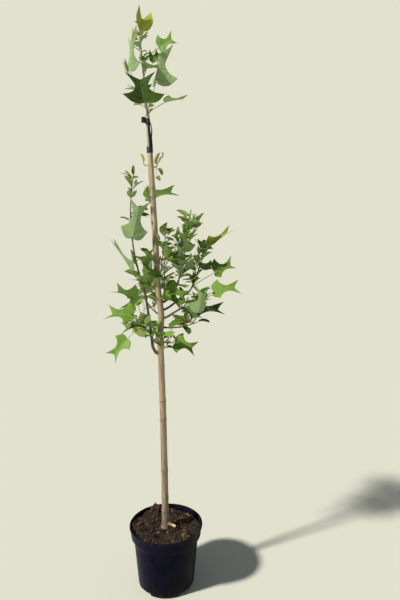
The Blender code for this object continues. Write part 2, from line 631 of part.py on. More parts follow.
def make_pot(material, where):
    """A moulded pot with a rounded lip, a collar, a shoulder and slots through its base corner."""
    outside = ((POT_RIM_RADIUS - POT_LIP - POT_WALL / 2, POT_HEIGHT),
               (POT_RIM_RADIUS - POT_LIP / 2, POT_HEIGHT - POT_LIP / 2),
               (POT_RIM_RADIUS, POT_HEIGHT - 2 * POT_LIP),
               (POT_RIM_RADIUS - POT_LIP, POT_HEIGHT - 4 * POT_LIP),
               (POT_COLLAR_RADIUS, POT_COLLAR_FOOT),
               (POT_SHOULDER_RADIUS, POT_SHOULDER_FOOT),
               (POT_BODY_RADIUS, POT_CORNER),
               (POT_BASE_RADIUS, 0),
               (0, 0))
    pot = turned("pot", ((0, POT_FLOOR), *pot_inside(), *outside), POT_SEGMENTS, material, where)
    cutters = in_collection("slot_cutters")
    for i in range(SLOTS):
        bearing = 360 * (i + 0.5) / SLOTS
        cube = bmesh.new()
        bmesh.ops.create_cube(cube, size=1)
        depth = 2 * (POT_BODY_RADIUS - SLOT_INNER_RADIUS)
        place = (Matrix.Rotation(math.radians(bearing), 4, "Z")
                 @ Matrix.Translation((SLOT_INNER_RADIUS + depth / 2, 0, 0))
                 @ Matrix.Diagonal((depth, SLOT_WIDTH, 2 * SLOT_HEIGHT, 1)))
        bmesh.ops.transform(cube, matrix=place, verts=cube.verts)
        mesh = bpy.data.meshes.new("slot")
        cube.to_mesh(mesh)
        cube.free()
        cutter = bpy.data.objects.new(f"slot_cutter_{i}", mesh)
        cutters.objects.link(cutter)
    fuse(pot, cutters, "DIFFERENCE")
    smooth(pot, 28)
    return pot


def compost_height(x, y):
    """The lumpy top of the compost: level under the stem, with one piece of bark standing up at the back."""
    reach = math.hypot(x - TRUNK_FOOT_X, y)
    lumps = math.sin(61 * x + 1.3) * math.cos(57 * y) + 0.6 * math.sin(113 * y + 97 * x)
    swell = LUMP_HEIGHT * lumps * min(1, max(0, (reach - SEAT_RADIUS) / SEAT_RADIUS))
    edge = COMPOST_EDGE_DROP * (reach / POT_COLLAR_RADIUS) ** 2
    chunk = heading(CHUNK_BEARING, 0) * CHUNK_REACH
    stands = max(0, 1 - (math.hypot(x - chunk.x, y - chunk.y) / CHUNK_RADIUS) ** 2)
    return COMPOST_LEVEL + (swell - edge if reach > SEAT_RADIUS else 0) + CHUNK_HEIGHT * stands


def make_compost(material, where):
    """The compost that fills the pot, turned to its inside and then shaped on top."""
    wall = [(radius - COMPOST_SLACK, z) for radius, z in pot_inside()[2:4]]
    top = POT_COLLAR_RADIUS - POT_WALL - COMPOST_SLACK + 0.0012
    rings = [(SEAT_RADIUS + (top - SEAT_RADIUS) * i / COMPOST_RINGS, COMPOST_LEVEL)
             for i in range(COMPOST_RINGS + 1)]
    profile = [(0, COMPOST_LEVEL), *rings, *reversed(wall),
               (POT_BODY_RADIUS - POT_WALL - COMPOST_SLACK, COMPOST_CORNER),
               (COMPOST_FOOT_RADIUS, POT_FLOOR + GAP), (0, POT_FLOOR + GAP)]
    compost = turned("compost", profile, COMPOST_SEGMENTS, material, where)
    for vertex in compost.data.vertices:
        if vertex.co.z > COMPOST_LEVEL - 1e-6:
            vertex.co.z = compost_height(vertex.co.x, vertex.co.y)
    smooth(compost, 50)
    return compost


def winding(name, low, high, material, where):
    """A sleeve of tape round the trunk: an open cone on the trunk's own line, made thick outwards."""
    foot, top = trunk_centre(low), trunk_centre(high)
    cone = bmesh.new()
    bmesh.ops.create_cone(cone, cap_ends=False, segments=TAPE_SIDES, radius1=trunk_radius(low) + 2 * GAP,
                          radius2=trunk_radius(high) + 2 * GAP, depth=(top - foot).length)
    turn = Vector((0, 0, 1)).rotation_difference(top - foot).to_matrix().to_4x4()
    bmesh.ops.transform(cone, matrix=Matrix.Translation((foot + top) / 2) @ turn, verts=cone.verts)
    sleeve = mesh_object(name, (), (), material, where)
    cone.to_mesh(sleeve.data)
    cone.free()
    thicken = sleeve.modifiers.new("thicken", "SOLIDIFY")
    thicken.thickness = TAPE_THICKNESS
    thicken.offset = 1
    sleeve.data = evaluated_mesh(sleeve, name)
    sleeve.modifiers.clear()
    return sleeve


def make_tape(material, where):
    """Black binding round the graft: two windings, the strand between them and a loose tab."""
    tape = winding("graft_tape", *TAPE_WINDINGS[0], material, where)
    pieces = in_collection("tape_pieces")
    winding("upper_winding", *TAPE_WINDINGS[1], material, pieces)
    low, high = TAPE_WINDINGS[0][1] - 0.006, TAPE_WINDINGS[1][0] + 0.006
    strand = []
    for i in range(7):
        share = i / 6
        z = low + (high - low) * share
        reach = trunk_radius(z) + 2 * GAP + TAPE_STRAND_RADIUS + TAPE_STRAND_BULGE * math.sin(math.pi * share)
        strand.append(trunk_centre(z) + heading(-40 + 50 * share, 0) * reach)
    limb_object("strand", strand, [TAPE_STRAND_RADIUS] * 7, 1, material, pieces)
    top = TAPE_WINDINGS[1][1] - TAPE_TAB[2] / 2 + 0.002
    centre = trunk_centre(top) + heading(200, 0) * (trunk_radius(top) + 3 * GAP + TAPE_TAB[0] / 2)
    tab = bmesh.new()
    bmesh.ops.create_cube(tab, size=1)
    place = (Matrix.Translation(centre) @ Matrix.Rotation(math.radians(20), 4, "Z")
             @ Matrix.Diagonal((*TAPE_TAB, 1)))
    bmesh.ops.transform(tab, matrix=place, verts=tab.verts)
    mesh = bpy.data.meshes.new("tab")
    tab.to_mesh(mesh)
    tab.free()
    pieces.objects.link(bpy.data.objects.new("tab", mesh))
    fuse(tape, pieces)
    tape.data.materials.clear()
    tape.data.materials.append(material)
    return tape


def make_mass(name, stem, sprigs, leaves, material, where):
    """One mass of foliage: its stem fused with its sprigs, leaf stalks and leaves."""
    mass = limb_object(name, *stem, 1, material, where)
    pieces = in_collection(name + "_pieces")
    for i, (path, radii) in enumerate(sprigs):
        limb_object(f"sprig_{i}", path, radii, 0, material, pieces)
    for i, (leaf, foot, joint, frame) in enumerate(leaves):
        sunk = on_blade(leaf, frame, 0, STALK_SUNK)
        limb_object(f"stalk_{i}", [foot, sunk], [STALK_RADIUS, STALK_TIP_RADIUS], 0, material, pieces)
        mesh_object(f"blade_{i}", *blade_shell(leaf, frame), material, pieces)
    fuse(mass, pieces)
    mass.data.materials.clear()
    mass.data.materials.append(material)
    return mass


def main():
    clear_scene()
    sapling = in_collection("potted_tulip_tree")
    plastic = finish("black_pot_plastic", (0.012, 0.013, 0.022), 0.42)
    earth = finish("bark_compost", (0.060, 0.034, 0.024), 0.95)
    bark = finish("stem_bark", (0.36, 0.25, 0.17), 0.75)
    twig = finish("twig_bark", (0.13, 0.085, 0.05), 0.65)
    leaf_green = finish("leaf_green", (0.085, 0.20, 0.045), 0.5)
    tape = finish("black_tape", (0.012, 0.014, 0.018), 0.4)
    cut_wood = finish("cut_wood", (0.72, 0.55, 0.33), 0.7)

    make_pot(plastic, sapling)
    make_compost(earth, sapling)
    smooth(limb_object("trunk", *trunk_path(), 3, bark, sapling))
    make_tape(tape, sapling)
    boughs, stems, sprigs, placed = grow_crown()
    for name, (path, radii) in boughs.items():
        smooth(limb_object(name, path, radii, 2, cut_wood if name == "cut_stub" else twig, sapling))
    for shoot in SHOOTS:
        leaves = placed.get(shoot.name, [])
        make_mass(shoot.name, stems[shoot.name], sprigs[shoot.name], leaves, leaf_green, sapling)


main()
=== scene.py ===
import json
import math
import random
from collections import Counter, namedtuple

import bmesh
import bpy
from mathutils import Matrix, Vector, geometry, noise
from mathutils.bvhtree import BVHTree

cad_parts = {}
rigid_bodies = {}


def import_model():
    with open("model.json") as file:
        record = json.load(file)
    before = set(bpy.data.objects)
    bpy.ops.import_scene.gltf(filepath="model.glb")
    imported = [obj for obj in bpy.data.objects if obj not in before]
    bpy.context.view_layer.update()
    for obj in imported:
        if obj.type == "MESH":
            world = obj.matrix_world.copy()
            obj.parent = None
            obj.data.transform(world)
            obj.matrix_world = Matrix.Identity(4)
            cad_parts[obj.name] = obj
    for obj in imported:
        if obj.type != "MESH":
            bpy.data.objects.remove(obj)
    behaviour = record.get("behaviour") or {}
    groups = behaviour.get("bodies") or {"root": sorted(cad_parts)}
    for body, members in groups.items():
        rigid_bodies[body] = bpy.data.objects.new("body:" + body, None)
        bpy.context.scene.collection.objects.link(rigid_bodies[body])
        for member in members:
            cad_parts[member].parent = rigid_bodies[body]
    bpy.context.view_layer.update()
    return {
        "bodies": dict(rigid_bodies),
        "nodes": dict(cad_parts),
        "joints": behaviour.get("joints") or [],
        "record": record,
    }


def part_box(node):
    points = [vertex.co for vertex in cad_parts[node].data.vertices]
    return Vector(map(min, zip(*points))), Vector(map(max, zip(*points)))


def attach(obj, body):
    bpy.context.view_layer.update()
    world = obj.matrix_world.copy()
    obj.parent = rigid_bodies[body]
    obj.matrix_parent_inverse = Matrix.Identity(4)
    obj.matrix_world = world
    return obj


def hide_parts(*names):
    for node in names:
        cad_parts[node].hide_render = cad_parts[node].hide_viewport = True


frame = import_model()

# ---------------------------------------------------------------------------------------- The studio
# A matt pale board without an edge, one broad lamp high on the front left, a weak cool fill all round and
# a narrow strip of warm light on the right. The camera stands at chest height, tipped down a little.

CAMERA_PLACE = (0.117, -1.49, 1.10)
CAMERA_TIP = 4.6
LENS, SENSOR_HEIGHT = 18, 24        # millimetres
BOARD_TONE = (0.76, 0.77, 0.65)
BOARD_REACH = 60
FILL_TONE = (0.155, 0.168, 0.190)
LAMP_TONE, LAMP_STRENGTH = (1.0, 0.965, 0.90), 4.1
LAMP_BEARING, LAMP_RISE, LAMP_SOFTNESS = 207, 40, 5
STRIP_PLACE, STRIP_SIZE = (0.95, -0.35, 0.55), (0.22, 1.1)
STRIP_TONE, STRIP_POWER = (1.0, 0.80, 0.62), 9.0


def heading(compass, rise):
    """The unit vector along a compass bearing that rises from level, both in degrees."""
    turn, climb = math.radians(compass), math.radians(rise)
    return Vector((math.cos(turn) * math.cos(climb), math.sin(turn) * math.cos(climb), math.sin(climb)))


def add(tree, kind, inputs=(), **settings):
    """A shader node of a kind with its settings, and its sockets given a value or joined to another's."""
    made = tree.nodes.new("ShaderNode" + kind)
    for name, value in settings.items():
        setattr(made, name, value)
    for name, value in dict(inputs).items():
        socket = made.inputs[name]
        if isinstance(value, bpy.types.NodeSocket):
            tree.links.new(value, socket)
        else:
            socket.default_value = (*value, 1) if socket.type == "RGBA" and len(value) == 3 else value
    return made


def new_finish(name, tone, roughness, **sockets):
    """A material's tree and the sockets of its Principled shader, with plain values set on them."""
    made = bpy.data.materials.new(name)
    made.use_nodes = True
    made.diffuse_color = (*tone, 1)
    shader = made.node_tree.nodes["Principled BSDF"].inputs
    shader["Base Color"].default_value = (*tone, 1)
    shader["Roughness"].default_value = roughness
    for label, value in sockets.items():
        shader[label.replace("_", " ")].default_value = value
    return made, made.node_tree, shader


def piece_of(name, mesh, *materials):
    """An object for a mesh, with its materials, in the scene."""
    for material in materials:
        mesh.materials.append(material)
    made = bpy.data.objects.new(name, mesh)
    bpy.context.scene.collection.objects.link(made)
    return made


def light(name, kind, place, **settings):
    """A lamp of a kind with its settings, at a place in the scene."""
    lamp = bpy.data.lights.new(name, kind)
    for label, value in settings.items():
        setattr(lamp, label, value)
    made = bpy.data.objects.new(name, lamp)
    made.location = place
    made.rotation_mode = "QUATERNION"
    bpy.context.scene.collection.objects.link(made)
    return made


board_finish = new_finish("matt_board", BOARD_TONE, 1.0, Specular_IOR_Level=0.0)[0]
board_mesh = bpy.data.meshes.new("studio_board")
board_corners = [(x * BOARD_REACH, y * BOARD_REACH, 0) for x, y in ((-1, -1), (1, -1), (1, 1), (-1, 1))]
board_mesh.from_pydata(board_corners, [], [(0, 1, 2, 3)])
piece_of("studio_board", board_mesh, board_finish)

to_lamp = heading(LAMP_BEARING, LAMP_RISE)
lamp = light("front_left_lamp", "SUN", to_lamp * 4, energy=LAMP_STRENGTH, angle=math.radians(LAMP_SOFTNESS),
             color=LAMP_TONE)
lamp.rotation_quaternion = to_lamp.to_track_quat("Z", "Y")
strip = light("right_strip", "AREA", STRIP_PLACE, energy=STRIP_POWER, shape="RECTANGLE", size=STRIP_SIZE[0],
              size_y=STRIP_SIZE[1], color=STRIP_TONE)
strip.visible_diffuse = False
strip.rotation_quaternion = Vector((*STRIP_PLACE[:2], 0)).to_track_quat("Z", "Y")

air = bpy.data.worlds.new("studio_air")
air.use_nodes = True
air_tree = air.node_tree
air_tree.nodes.clear()
lit = [fill + LAMP_STRENGTH * tint * math.sin(math.radians(LAMP_RISE)) / math.pi
       for fill, tint in zip(FILL_TONE, lamp.data.color)]
board_lit = [tone * light_in for tone, light_in in zip(BOARD_TONE, lit)]
backdrop = add(air_tree, "Background", {"Color": board_lit})
fill = add(air_tree, "Background", {"Color": FILL_TONE})
seen = add(air_tree, "MixShader", {0: add(air_tree, "LightPath").outputs["Is Camera Ray"],
                                   1: fill.outputs[0], 2: backdrop.outputs[0]})
air_tree.links.new(seen.outputs[0], add(air_tree, "OutputWorld").inputs[0])
bpy.context.scene.world = air
bpy.context.scene.view_settings.view_transform = "Standard"

camera = bpy.data.cameras.new("front_camera")
camera.sensor_fit = "VERTICAL"
camera.sensor_height = SENSOR_HEIGHT
camera.lens = LENS
front_camera = bpy.data.objects.new("front_camera", camera)
front_camera.location = CAMERA_PLACE
front_camera.rotation_euler = (math.radians(90 - CAMERA_TIP), 0, 0)
bpy.context.scene.collection.objects.link(front_camera)
bpy.context.scene.camera = front_camera

# --------------------------------------------------------------------------------------------- The pot
# A nursery container injection-moulded in near-black recycled polypropylene: a rolled lip, a deep collar,
# a stepped-in shoulder and a tapering body on a flat foot, with four slots through the base corner.

POT_HEIGHT = 0.208
POT_LINE = (        # radius, height and rounding of the section's corners, from the floor round to the foot
    (0, 0.003, 0), (0.0888, 0.003, 0.003), (0.0932, 0.012, 0.003), (0.1060, 0.150, 0.003),
    (0.1078, 0.1655, 0.002), (0.1150, 0.1712, 0.002), (0.1203, 0.2030, 0.0012), (0.1203, 0.2080, 0.0014),
    (0.1250, 0.2080, 0.0018), (0.1250, 0.2012, 0.0012), (0.1229, 0.2003, 0.0006), (0.1224, 0.1985, 0.0006),
    (0.1195, 0.1724, 0.0014), (0.1170, 0.1698, 0.0008), (0.1122, 0.1672, 0.0010), (0.1094, 0.1560, 0.0040),
    (0.0958, 0.0090, 0.0030), (0.0930, 0.0030, 0.0020), (0.0900, 0.0000, 0.0008), (0.0850, 0.0000, 0.0006),
    (0.0842, 0.0010, 0.0004), (0, 0.0010, 0))
POT_SIDES = 160
POT_SHARP = 32              # edges turned by more than this many degrees stay crisp
POT_WAVER, LIP_SHARE = 0.0005, 6       # how far the wall is out of round, and how much more the lip dips
SLOT_REACH, SLOT_DEPTH, SLOT_WIDTH, SLOT_RISE, SLOT_ROUNDING = 0.074, 0.044, 0.052, 0.011, 0.003
SLOT_BEARINGS = (45, 135, 225, 315)
REFLECTION_BEARING, REFLECTION_REACH = -31, 13      # an upright streak of painted brown reflection on the wall
REFLECTION_TONE, REFLECTION_DEPTH = (0.075, 0.052, 0.034), 0.75
SOIL_TONE, SOIL_DEPTH = (0.075, 0.052, 0.036), 0.55
SCUFF_TONE = (0.030, 0.027, 0.028)


def rounded(corners, steps=4):
    """A section with its corners rounded off, as points."""
    line = []
    for i, (x, z, reach) in enumerate(corners):
        here = Vector((x, z))
        if not reach:
            line.append(here)
            continue
        start = here + (Vector(corners[i - 1][:2]) - here).normalized() * reach
        end = here + (Vector(corners[i + 1][:2]) - here).normalized() * reach
        for k in range(steps + 1):
            share = k / steps
            line.append(start * (1 - share) ** 2 + here * 2 * share * (1 - share) + end * share ** 2)
    return line


def turned(line, sides, change):
    """The corners and faces of a section turned about the upright axis; change moves each corner a little."""
    corners, faces, rings = [], [], []
    for point in line:
        if point.x < 1e-6:
            rings.append([len(corners)] * sides)
            corners.append(change(Vector((0, 0, point.y))))
            continue
        rings.append(range(len(corners), len(corners) + sides))
        for k in range(sides):
            turn = math.tau * k / sides
            corners.append(change(Vector((point.x * math.cos(turn), point.x * math.sin(turn), point.y))))
    for low, high in zip(rings, rings[1:]):
        for k in range(sides):
            face = [low[k], low[(k + 1) % sides], high[(k + 1) % sides], high[k]]
            faces.append(list(dict.fromkeys(face)))
    return corners, faces


def mesh_of(name, corners, faces):
    """A mesh of corners and faces, its faces turned outwards."""
    mesh = bpy.data.meshes.new(name)
    mesh.from_pydata([tuple(corner) for corner in corners], [], faces)
    work = bmesh.new()
    work.from_mesh(mesh)
    bmesh.ops.recalc_face_normals(work, faces=work.faces)
    work.to_mesh(mesh)
    work.free()
    return mesh


def place_on(tree):
    """Where a point of a piece lies, in metres, as the sockets X, Y and Z."""
    return add(tree, "SeparateXYZ", {0: add(tree, "TexCoord").outputs["Object"]}).outputs


def over(tree, scale, stretch=(1, 1, 1), detail=4.0, rough=0.6):
    """A noise over a piece, in metres, stretched along its axes."""
    place = add(tree, "Mapping", {0: add(tree, "TexCoord").outputs["Object"], "Scale": stretch})
    return add(tree, "TexNoise", {"Vector": place.outputs[0], "Scale": scale, "Detail": detail,
                                  "Roughness": rough}).outputs["Fac"]


def graded(tree, value, *stops):
    """A value turned into tones through a ramp of (place, tone) stops."""
    ramp = add(tree, "ValToRGB", {"Fac": value})
    marks = ramp.color_ramp.elements
    while len(marks) < len(stops):
        marks.new(0.5)
    for mark, (place, tone) in zip(marks, stops):
        mark.position = place
        mark.color = (*tone, 1) if isinstance(tone, tuple) else (tone, tone, tone, 1)
    return ramp.outputs["Color"]


def ranged(tree, value, start, end, least=0.0, most=1.0):
    """A value taken from the range start to end over to the range least to most, and held within it."""
    return add(tree, "MapRange", {"Value": value, "From Min": start, "From Max": end,
                                  "To Min": least, "To Max": most}).outputs[0]


def mixed(tree, share, first, second):
    """The first tone with a share of the second."""
    return add(tree, "Mix", {0: share, 6: first, 7: second}, data_type="RGBA").outputs[2]


def sums(tree, operation, first, second=0.0):
    """The outcome of a sum on one or two values."""
    return add(tree, "Math", {0: first, 1: second}, operation=operation).outputs[0]


def raised(tree, shader, height, distance, strength=1.0):
    """Gives a shader the small relief of a height."""
    bump = add(tree, "Bump", {"Height": height, "Distance": distance, "Strength": strength})
    tree.links.new(bump.outputs[0], shader["Normal"])


def mottled(name, tone, roughness, cloud, *stops, **sockets):
    """A finish in the tones of a cloud of noise graded by stops: itself, its tree, its shader, the cloud."""
    made, tree, shader = new_finish(name, tone, roughness, **sockets)
    clouded = over(tree, *cloud)
    tree.links.new(graded(tree, clouded, *stops), shader["Base Color"])
    return made, tree, shader, clouded


def new_group(name, inputs, outputs):
    """An empty node group: its tree, the sockets that bring its inputs and those that take its outputs."""
    tree = bpy.data.node_groups.new(name, "ShaderNodeTree")
    for label, kind, value in inputs:
        socket = tree.interface.new_socket(label, in_out="INPUT", socket_type="NodeSocket" + kind)
        socket.default_value = value
    for label, kind in outputs:
        tree.interface.new_socket(label, in_out="OUTPUT", socket_type="NodeSocket" + kind)
    return tree, tree.nodes.new("NodeGroupInput").outputs, tree.nodes.new("NodeGroupOutput").inputs


# Soil splashed and dried on: thickest low down and fading upwards from a level, in soft patches.
splash, splash_in, splash_out = new_group(
    "soil_splash", (("Level", "Float", 0.0), ("Fade", "Float", 0.05), ("Patch", "Float", 60.0)),
    (("Mask", "Float"),))
above = sums(splash, "SUBTRACT", place_on(splash)["Z"], splash_in["Level"])
near = ranged(splash, sums(splash, "ABSOLUTE", sums(splash, "DIVIDE", above, splash_in["Fade"])), 1.0, 0.0)
patches = ranged(splash, over(splash, splash_in["Patch"], detail=6.0, rough=0.5), 0.44, 0.72)
splash.links.new(sums(splash, "MULTIPLY", near, patches), splash_out["Mask"])


def splashed(tree, level, fade, patch):
    """How thick the soil splashed on a point is."""
    return add(tree, "Group", {"Level": level, "Fade": fade, "Patch": patch}, node_tree=splash).outputs[0]


plastic, tree, shader = new_finish("black_pot_plastic", (0.003, 0.003, 0.0065), 0.34, Specular_IOR_Level=0.05)
scuffs = over(tree, 90, (1, 1, 0.12), 6.0, 0.7)
tone = graded(tree, over(tree, 22), (0.30, (0.0016, 0.0015, 0.0075)), (0.70, (0.0050, 0.0046, 0.0180)))
tone = mixed(tree, graded(tree, scuffs, (0.55, 0.0), (0.80, 0.30)), tone, SCUFF_TONE)
place = place_on(tree)
# Painted reflection: a brown upright streak on the wall at one bearing, broken along its length by noise,
# stands in for a reflection on the plastic.
bearing = sums(tree, "ARCTAN2", place["Y"], place["X"])
aside = sums(tree, "ABSOLUTE", sums(tree, "SUBTRACT", bearing, math.radians(REFLECTION_BEARING)))
painted_reflection = ranged(tree, aside, math.radians(REFLECTION_REACH), 0.0)
runs = graded(tree, over(tree, 60, (1, 1, 0.15), 5), (0.35, 0.35), (0.65, 1.0))
painted_reflection = sums(tree, "MULTIPLY", sums(tree, "MULTIPLY", painted_reflection, runs), REFLECTION_DEPTH)
tone = mixed(tree, painted_reflection, tone, REFLECTION_TONE)
soil = sums(tree, "ADD", splashed(tree, 0.0, 0.034, 130.0), splashed(tree, 0.207, 0.020, 170.0))
tree.links.new(mixed(tree, sums(tree, "MULTIPLY", soil, SOIL_DEPTH), tone, SOIL_TONE), shader["Base Color"])
gloss = sums(tree, "ADD", sums(tree, "MULTIPLY", scuffs, 0.30), sums(tree, "MULTIPLY", soil, 0.4))
tree.links.new(sums(tree, "ADD", gloss, 0.22), shader["Roughness"])
raised(tree, shader, sums(tree, "ADD", scuffs, sums(tree, "MULTIPLY", over(tree, 900), 0.5)), 0.00012)


def wavering(point):
    """A moulding that has stood about: the wall a little out of round, the lip a little off level."""
    reach = point.xy.length
    if reach < 1e-4:
        return point
    push = noise.noise(Vector((point.x * 9, point.y * 9, point.z * 5))) * POT_WAVER * point.z / POT_HEIGHT
    lift = noise.noise(Vector((point.x * 14, point.y * 14, 3.7))) * POT_WAVER
    lift *= max(0, point.z / POT_HEIGHT - 0.9)
    return Vector((point.x * (1 + push / reach), point.y * (1 + push / reach), point.z + lift * LIP_SHARE))


pot_mesh = mesh_of("pot_moulding", *turned(rounded(POT_LINE), POT_SIDES, wavering))
pot = piece_of("pot_moulding", pot_mesh, plastic)
cutters = bpy.data.collections.new("slot_cutters")
bpy.context.scene.collection.children.link(cutters)
for bearing in SLOT_BEARINGS:
    block = bmesh.new()
    bmesh.ops.create_cube(block, size=1)
    turn = Matrix.Rotation(math.radians(bearing), 4, "Z")
    out = Matrix.Translation((SLOT_REACH + SLOT_DEPTH / 2, 0, 0))
    size = Matrix.Diagonal((SLOT_DEPTH, SLOT_WIDTH, 2 * SLOT_RISE, 1))
    bmesh.ops.transform(block, verts=block.verts, matrix=turn @ out @ size)
    bmesh.ops.bevel(block, geom=block.edges[:], offset=SLOT_ROUNDING, segments=4, profile=0.5, affect="EDGES")
    slot_mesh = bpy.data.meshes.new("slot_cutter")
    block.to_mesh(slot_mesh)
    block.free()
    cutters.objects.link(bpy.data.objects.new("slot_cutter", slot_mesh))
slots = pot.modifiers.new("slots", "BOOLEAN")
slots.operation = "DIFFERENCE"
slots.operand_type = "COLLECTION"
slots.collection = cutters
slots.solver = "EXACT"
bpy.context.view_layer.update()
pot.data = bpy.data.meshes.new_from_object(pot.evaluated_get(bpy.context.evaluated_depsgraph_get()))
pot.modifiers.clear()
for cutter in list(cutters.objects):
    bpy.data.objects.remove(cutter, do_unlink=True)
bpy.data.collections.remove(cutters)
pot.data.materials.clear()
pot.data.materials.append(plastic)
pot.data.shade_smooth()
pot.data.set_sharp_from_angle(angle=math.radians(POT_SHARP))
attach(pot, "root")
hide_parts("pot")

# ----------------------------------------------------------------------------------------- The compost
# Damp bark compost filled to just under the lip and watered in: a dark crumbly bed to the pot's floor,
# chips of conifer bark and strands of coir on top, a little moss, and two short stacks of bark at the back.

COMPOST_LEVEL = 0.192
COMPOST_WALL = ((0.1182, 0.190), (0.1138, 0.1725), (0.1068, 0.1650), (0.1040, 0.145), (0.0924, 0.019),
                (0.0700, 0.0033), (0, 0.0033))
COMPOST_EDGE_DROP = 0.003
COMPOST_REACH = 0.1195
SEAT_RADIUS = 0.022
LUMP_HEIGHT = 0.0035
LUMPS = (           # the bearing, reach and foot of each stack of bark, and its lumps' tones and sizes
    (104, 0.086, 0.193, (0, 1, 0), (0.0125, 0.0115, 0.0090)),
    (118, 0.098, 0.198, (0, 0, 0), (0.0150, 0.0145, 0.0135)))
LUMP_STEP = 0.0072
TRUNK_FOOT_X = -0.002
BED_RINGS, BED_SIDES, BED_WALL_TOP = 64, 200, 0.191
CRUMBS = ((48, 0.0016), (130, 0.0009), (340, 0.0004))       # scale and height of the bed's lumps
HOLLOWS = (         # x, y, half width and depth; a depth below nothing makes a heap
    (0.046, 0.080, 0.017, 0.012), (0.074, 0.020, 0.010, 0.006), (-0.062, -0.030, 0.012, 0.007),
    (-0.102, 0.005, 0.075, -0.011), (-0.048, 0.092, 0.060, -0.012), (-0.075, -0.078, 0.055, -0.008))
CHIP_COUNT = 1500
CHIP_RIM, CHIP_STEM, CHIP_WALL = 0.1165, 0.0155, 0.1192     # how far out they lie, and clear of stem and wall
CHIP_LEAST, CHIP_MORE, CHIP_MOST = 0.0016, 0.0015, 0.0075       # half lengths: most are short, few are long
CHIP_FINE = 0.0035          # longer chips are cut from the finer ball
CHIP_TONES = (("red_bark", (0.074, 0.031, 0.019)), ("brown_bark", (0.038, 0.022, 0.015)),
              ("black_bark", (0.010, 0.008, 0.007)), ("pale_bark", (0.24, 0.140, 0.080)))
CHIP_DEAL = (0, 0, 0, 1, 1, 1, 2, 2, 3)
COIR_COUNT, COIR_STEP, COIR_STEM = 190, 0.0024, 0.017
MOSS_PATCHES = (    # x, y and width
    (-0.078, 0.012, 0.020), (0.006, -0.050, 0.017), (0.062, -0.062, 0.016), (-0.035, 0.064, 0.014))
MOSS_BLADES, MOSS_WALL, MOSS_STEM = 90, 0.114, 0.018


def compost_height(x, y):
    """The lumpy top of the compost: level under the stem and a little lower towards the pot."""
    reach = math.hypot(x - TRUNK_FOOT_X, y)
    lumps = math.sin(61 * x + 1.3) * math.cos(57 * y) + 0.6 * math.sin(113 * y + 97 * x)
    swell = LUMP_HEIGHT * lumps * min(1, max(0, (reach - SEAT_RADIUS) / SEAT_RADIUS))
    edge = COMPOST_EDGE_DROP * (reach / COMPOST_REACH) ** 2
    return COMPOST_LEVEL + (swell - edge if reach > SEAT_RADIUS else 0)


def bed_height(x, y):
    """The compost's top with its crumbs, hollows and heaps."""
    crumbs = sum(depth * noise.noise(Vector((x * scale, y * scale, scale))) for scale, depth in CRUMBS)
    sunk = sum(depth * max(0, 1 - ((x - cx) ** 2 + (y - cy) ** 2) / wide ** 2)
               for cx, cy, wide, depth in HOLLOWS)
    return compost_height(x, y) + crumbs - sunk


class Pile:
    """Many small pieces of one kind, gathered into one mesh."""

    def __init__(self):
        self.corners, self.faces, self.tones, self.marks = [], [], [], []

    def lay(self, corners, faces, marks=None, tone=0):
        """Adds a piece, turned outwards, with a mark for each corner and one tone or a tone for each face."""
        first, hub = len(self.corners), corners[0]
        if sum((corners[face[0]] - hub).dot((corners[b] - hub).cross(corners[c] - hub))
               for face in faces for b, c in zip(face[1:], face[2:])) < 0:
            faces = [face[::-1] for face in faces]
        self.corners += [tuple(corner) for corner in corners]
        self.faces += [tuple(first + i for i in face) for face in faces]
        self.tones += [tone] * len(faces) if isinstance(tone, int) else tone
        self.marks += marks if marks is not None else [0.0] * len(corners)

    def made(self, name, materials, sharp, slot, *nodes):
        """The joined piece, riding on the pot and standing for its CAD nodes."""
        mesh = bpy.data.meshes.new(name)
        mesh.from_pydata(self.corners, [], self.faces)
        mesh.polygons.foreach_set("material_index", self.tones)
        mark = mesh.attributes.new("mark", "FLOAT", "POINT")
        mark.data.foreach_set("value", self.marks)
        if sharp is not None:
            mesh.shade_smooth()
            mesh.set_sharp_from_angle(angle=math.radians(sharp))
        piece = piece_of(name, mesh, *materials)
        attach(piece, "root")
        if nodes:
            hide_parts(*nodes)
        return piece


earth, tree, shader = mottled(
    "bark_compost", (0.040, 0.022, 0.015), 0.92, (260, (1, 1, 1), 8), (0.32, (0.006, 0.005, 0.0045)),
    (0.50, (0.025, 0.015, 0.011)), (0.64, (0.062, 0.033, 0.022)), (0.78, (0.15, 0.090, 0.055)),
    Specular_IOR_Level=0.3)[:3]
raised(tree, shader, over(tree, 700, detail=5), 0.0006)

bed_line = [Vector((COMPOST_WALL[0][0] * i / BED_RINGS, COMPOST_LEVEL)) for i in range(BED_RINGS + 1)]
bed_line += [Vector(corner) for corner in COMPOST_WALL]


def bedded(point):
    """A point of the bed: on its lumpy top, or as it is on the wall."""
    return Vector((point.x, point.y, bed_height(point.x, point.y))) if point.z > BED_WALL_TOP else point


bed = Pile()
bed.lay(*turned(bed_line, BED_SIDES, bedded))
bed.made("compost_bed", (earth,), 40, "bark_compost", "compost")

chip_finishes = []
for label, tone in CHIP_TONES:
    darker = tuple(value * 0.45 for value in tone)
    lighter = tuple(min(1, value * 1.55) for value in tone)
    chip_finish, tree, shader = mottled(label, tone, 0.85, (420, (1, 1, 0.4), 6), (0.3, darker), (0.55, tone),
                                        (0.8, lighter), Specular_IOR_Level=0.35)[:3]
    raised(tree, shader, over(tree, 900), 0.0003)
    chip_finishes.append(chip_finish)


def lump_shape(detail):
    """The corners and faces of a ball, for chips and grains to be cut from."""
    ball = bmesh.new()
    bmesh.ops.create_icosphere(ball, subdivisions=detail, radius=1)
    shape = ([v.co.copy() for v in ball.verts], [[v.index for v in f.verts] for f in ball.faces])
    ball.free()
    return shape


SMALL_LUMP, LARGE_LUMP, FINE_LUMP = lump_shape(1), lump_shape(2), lump_shape(4)


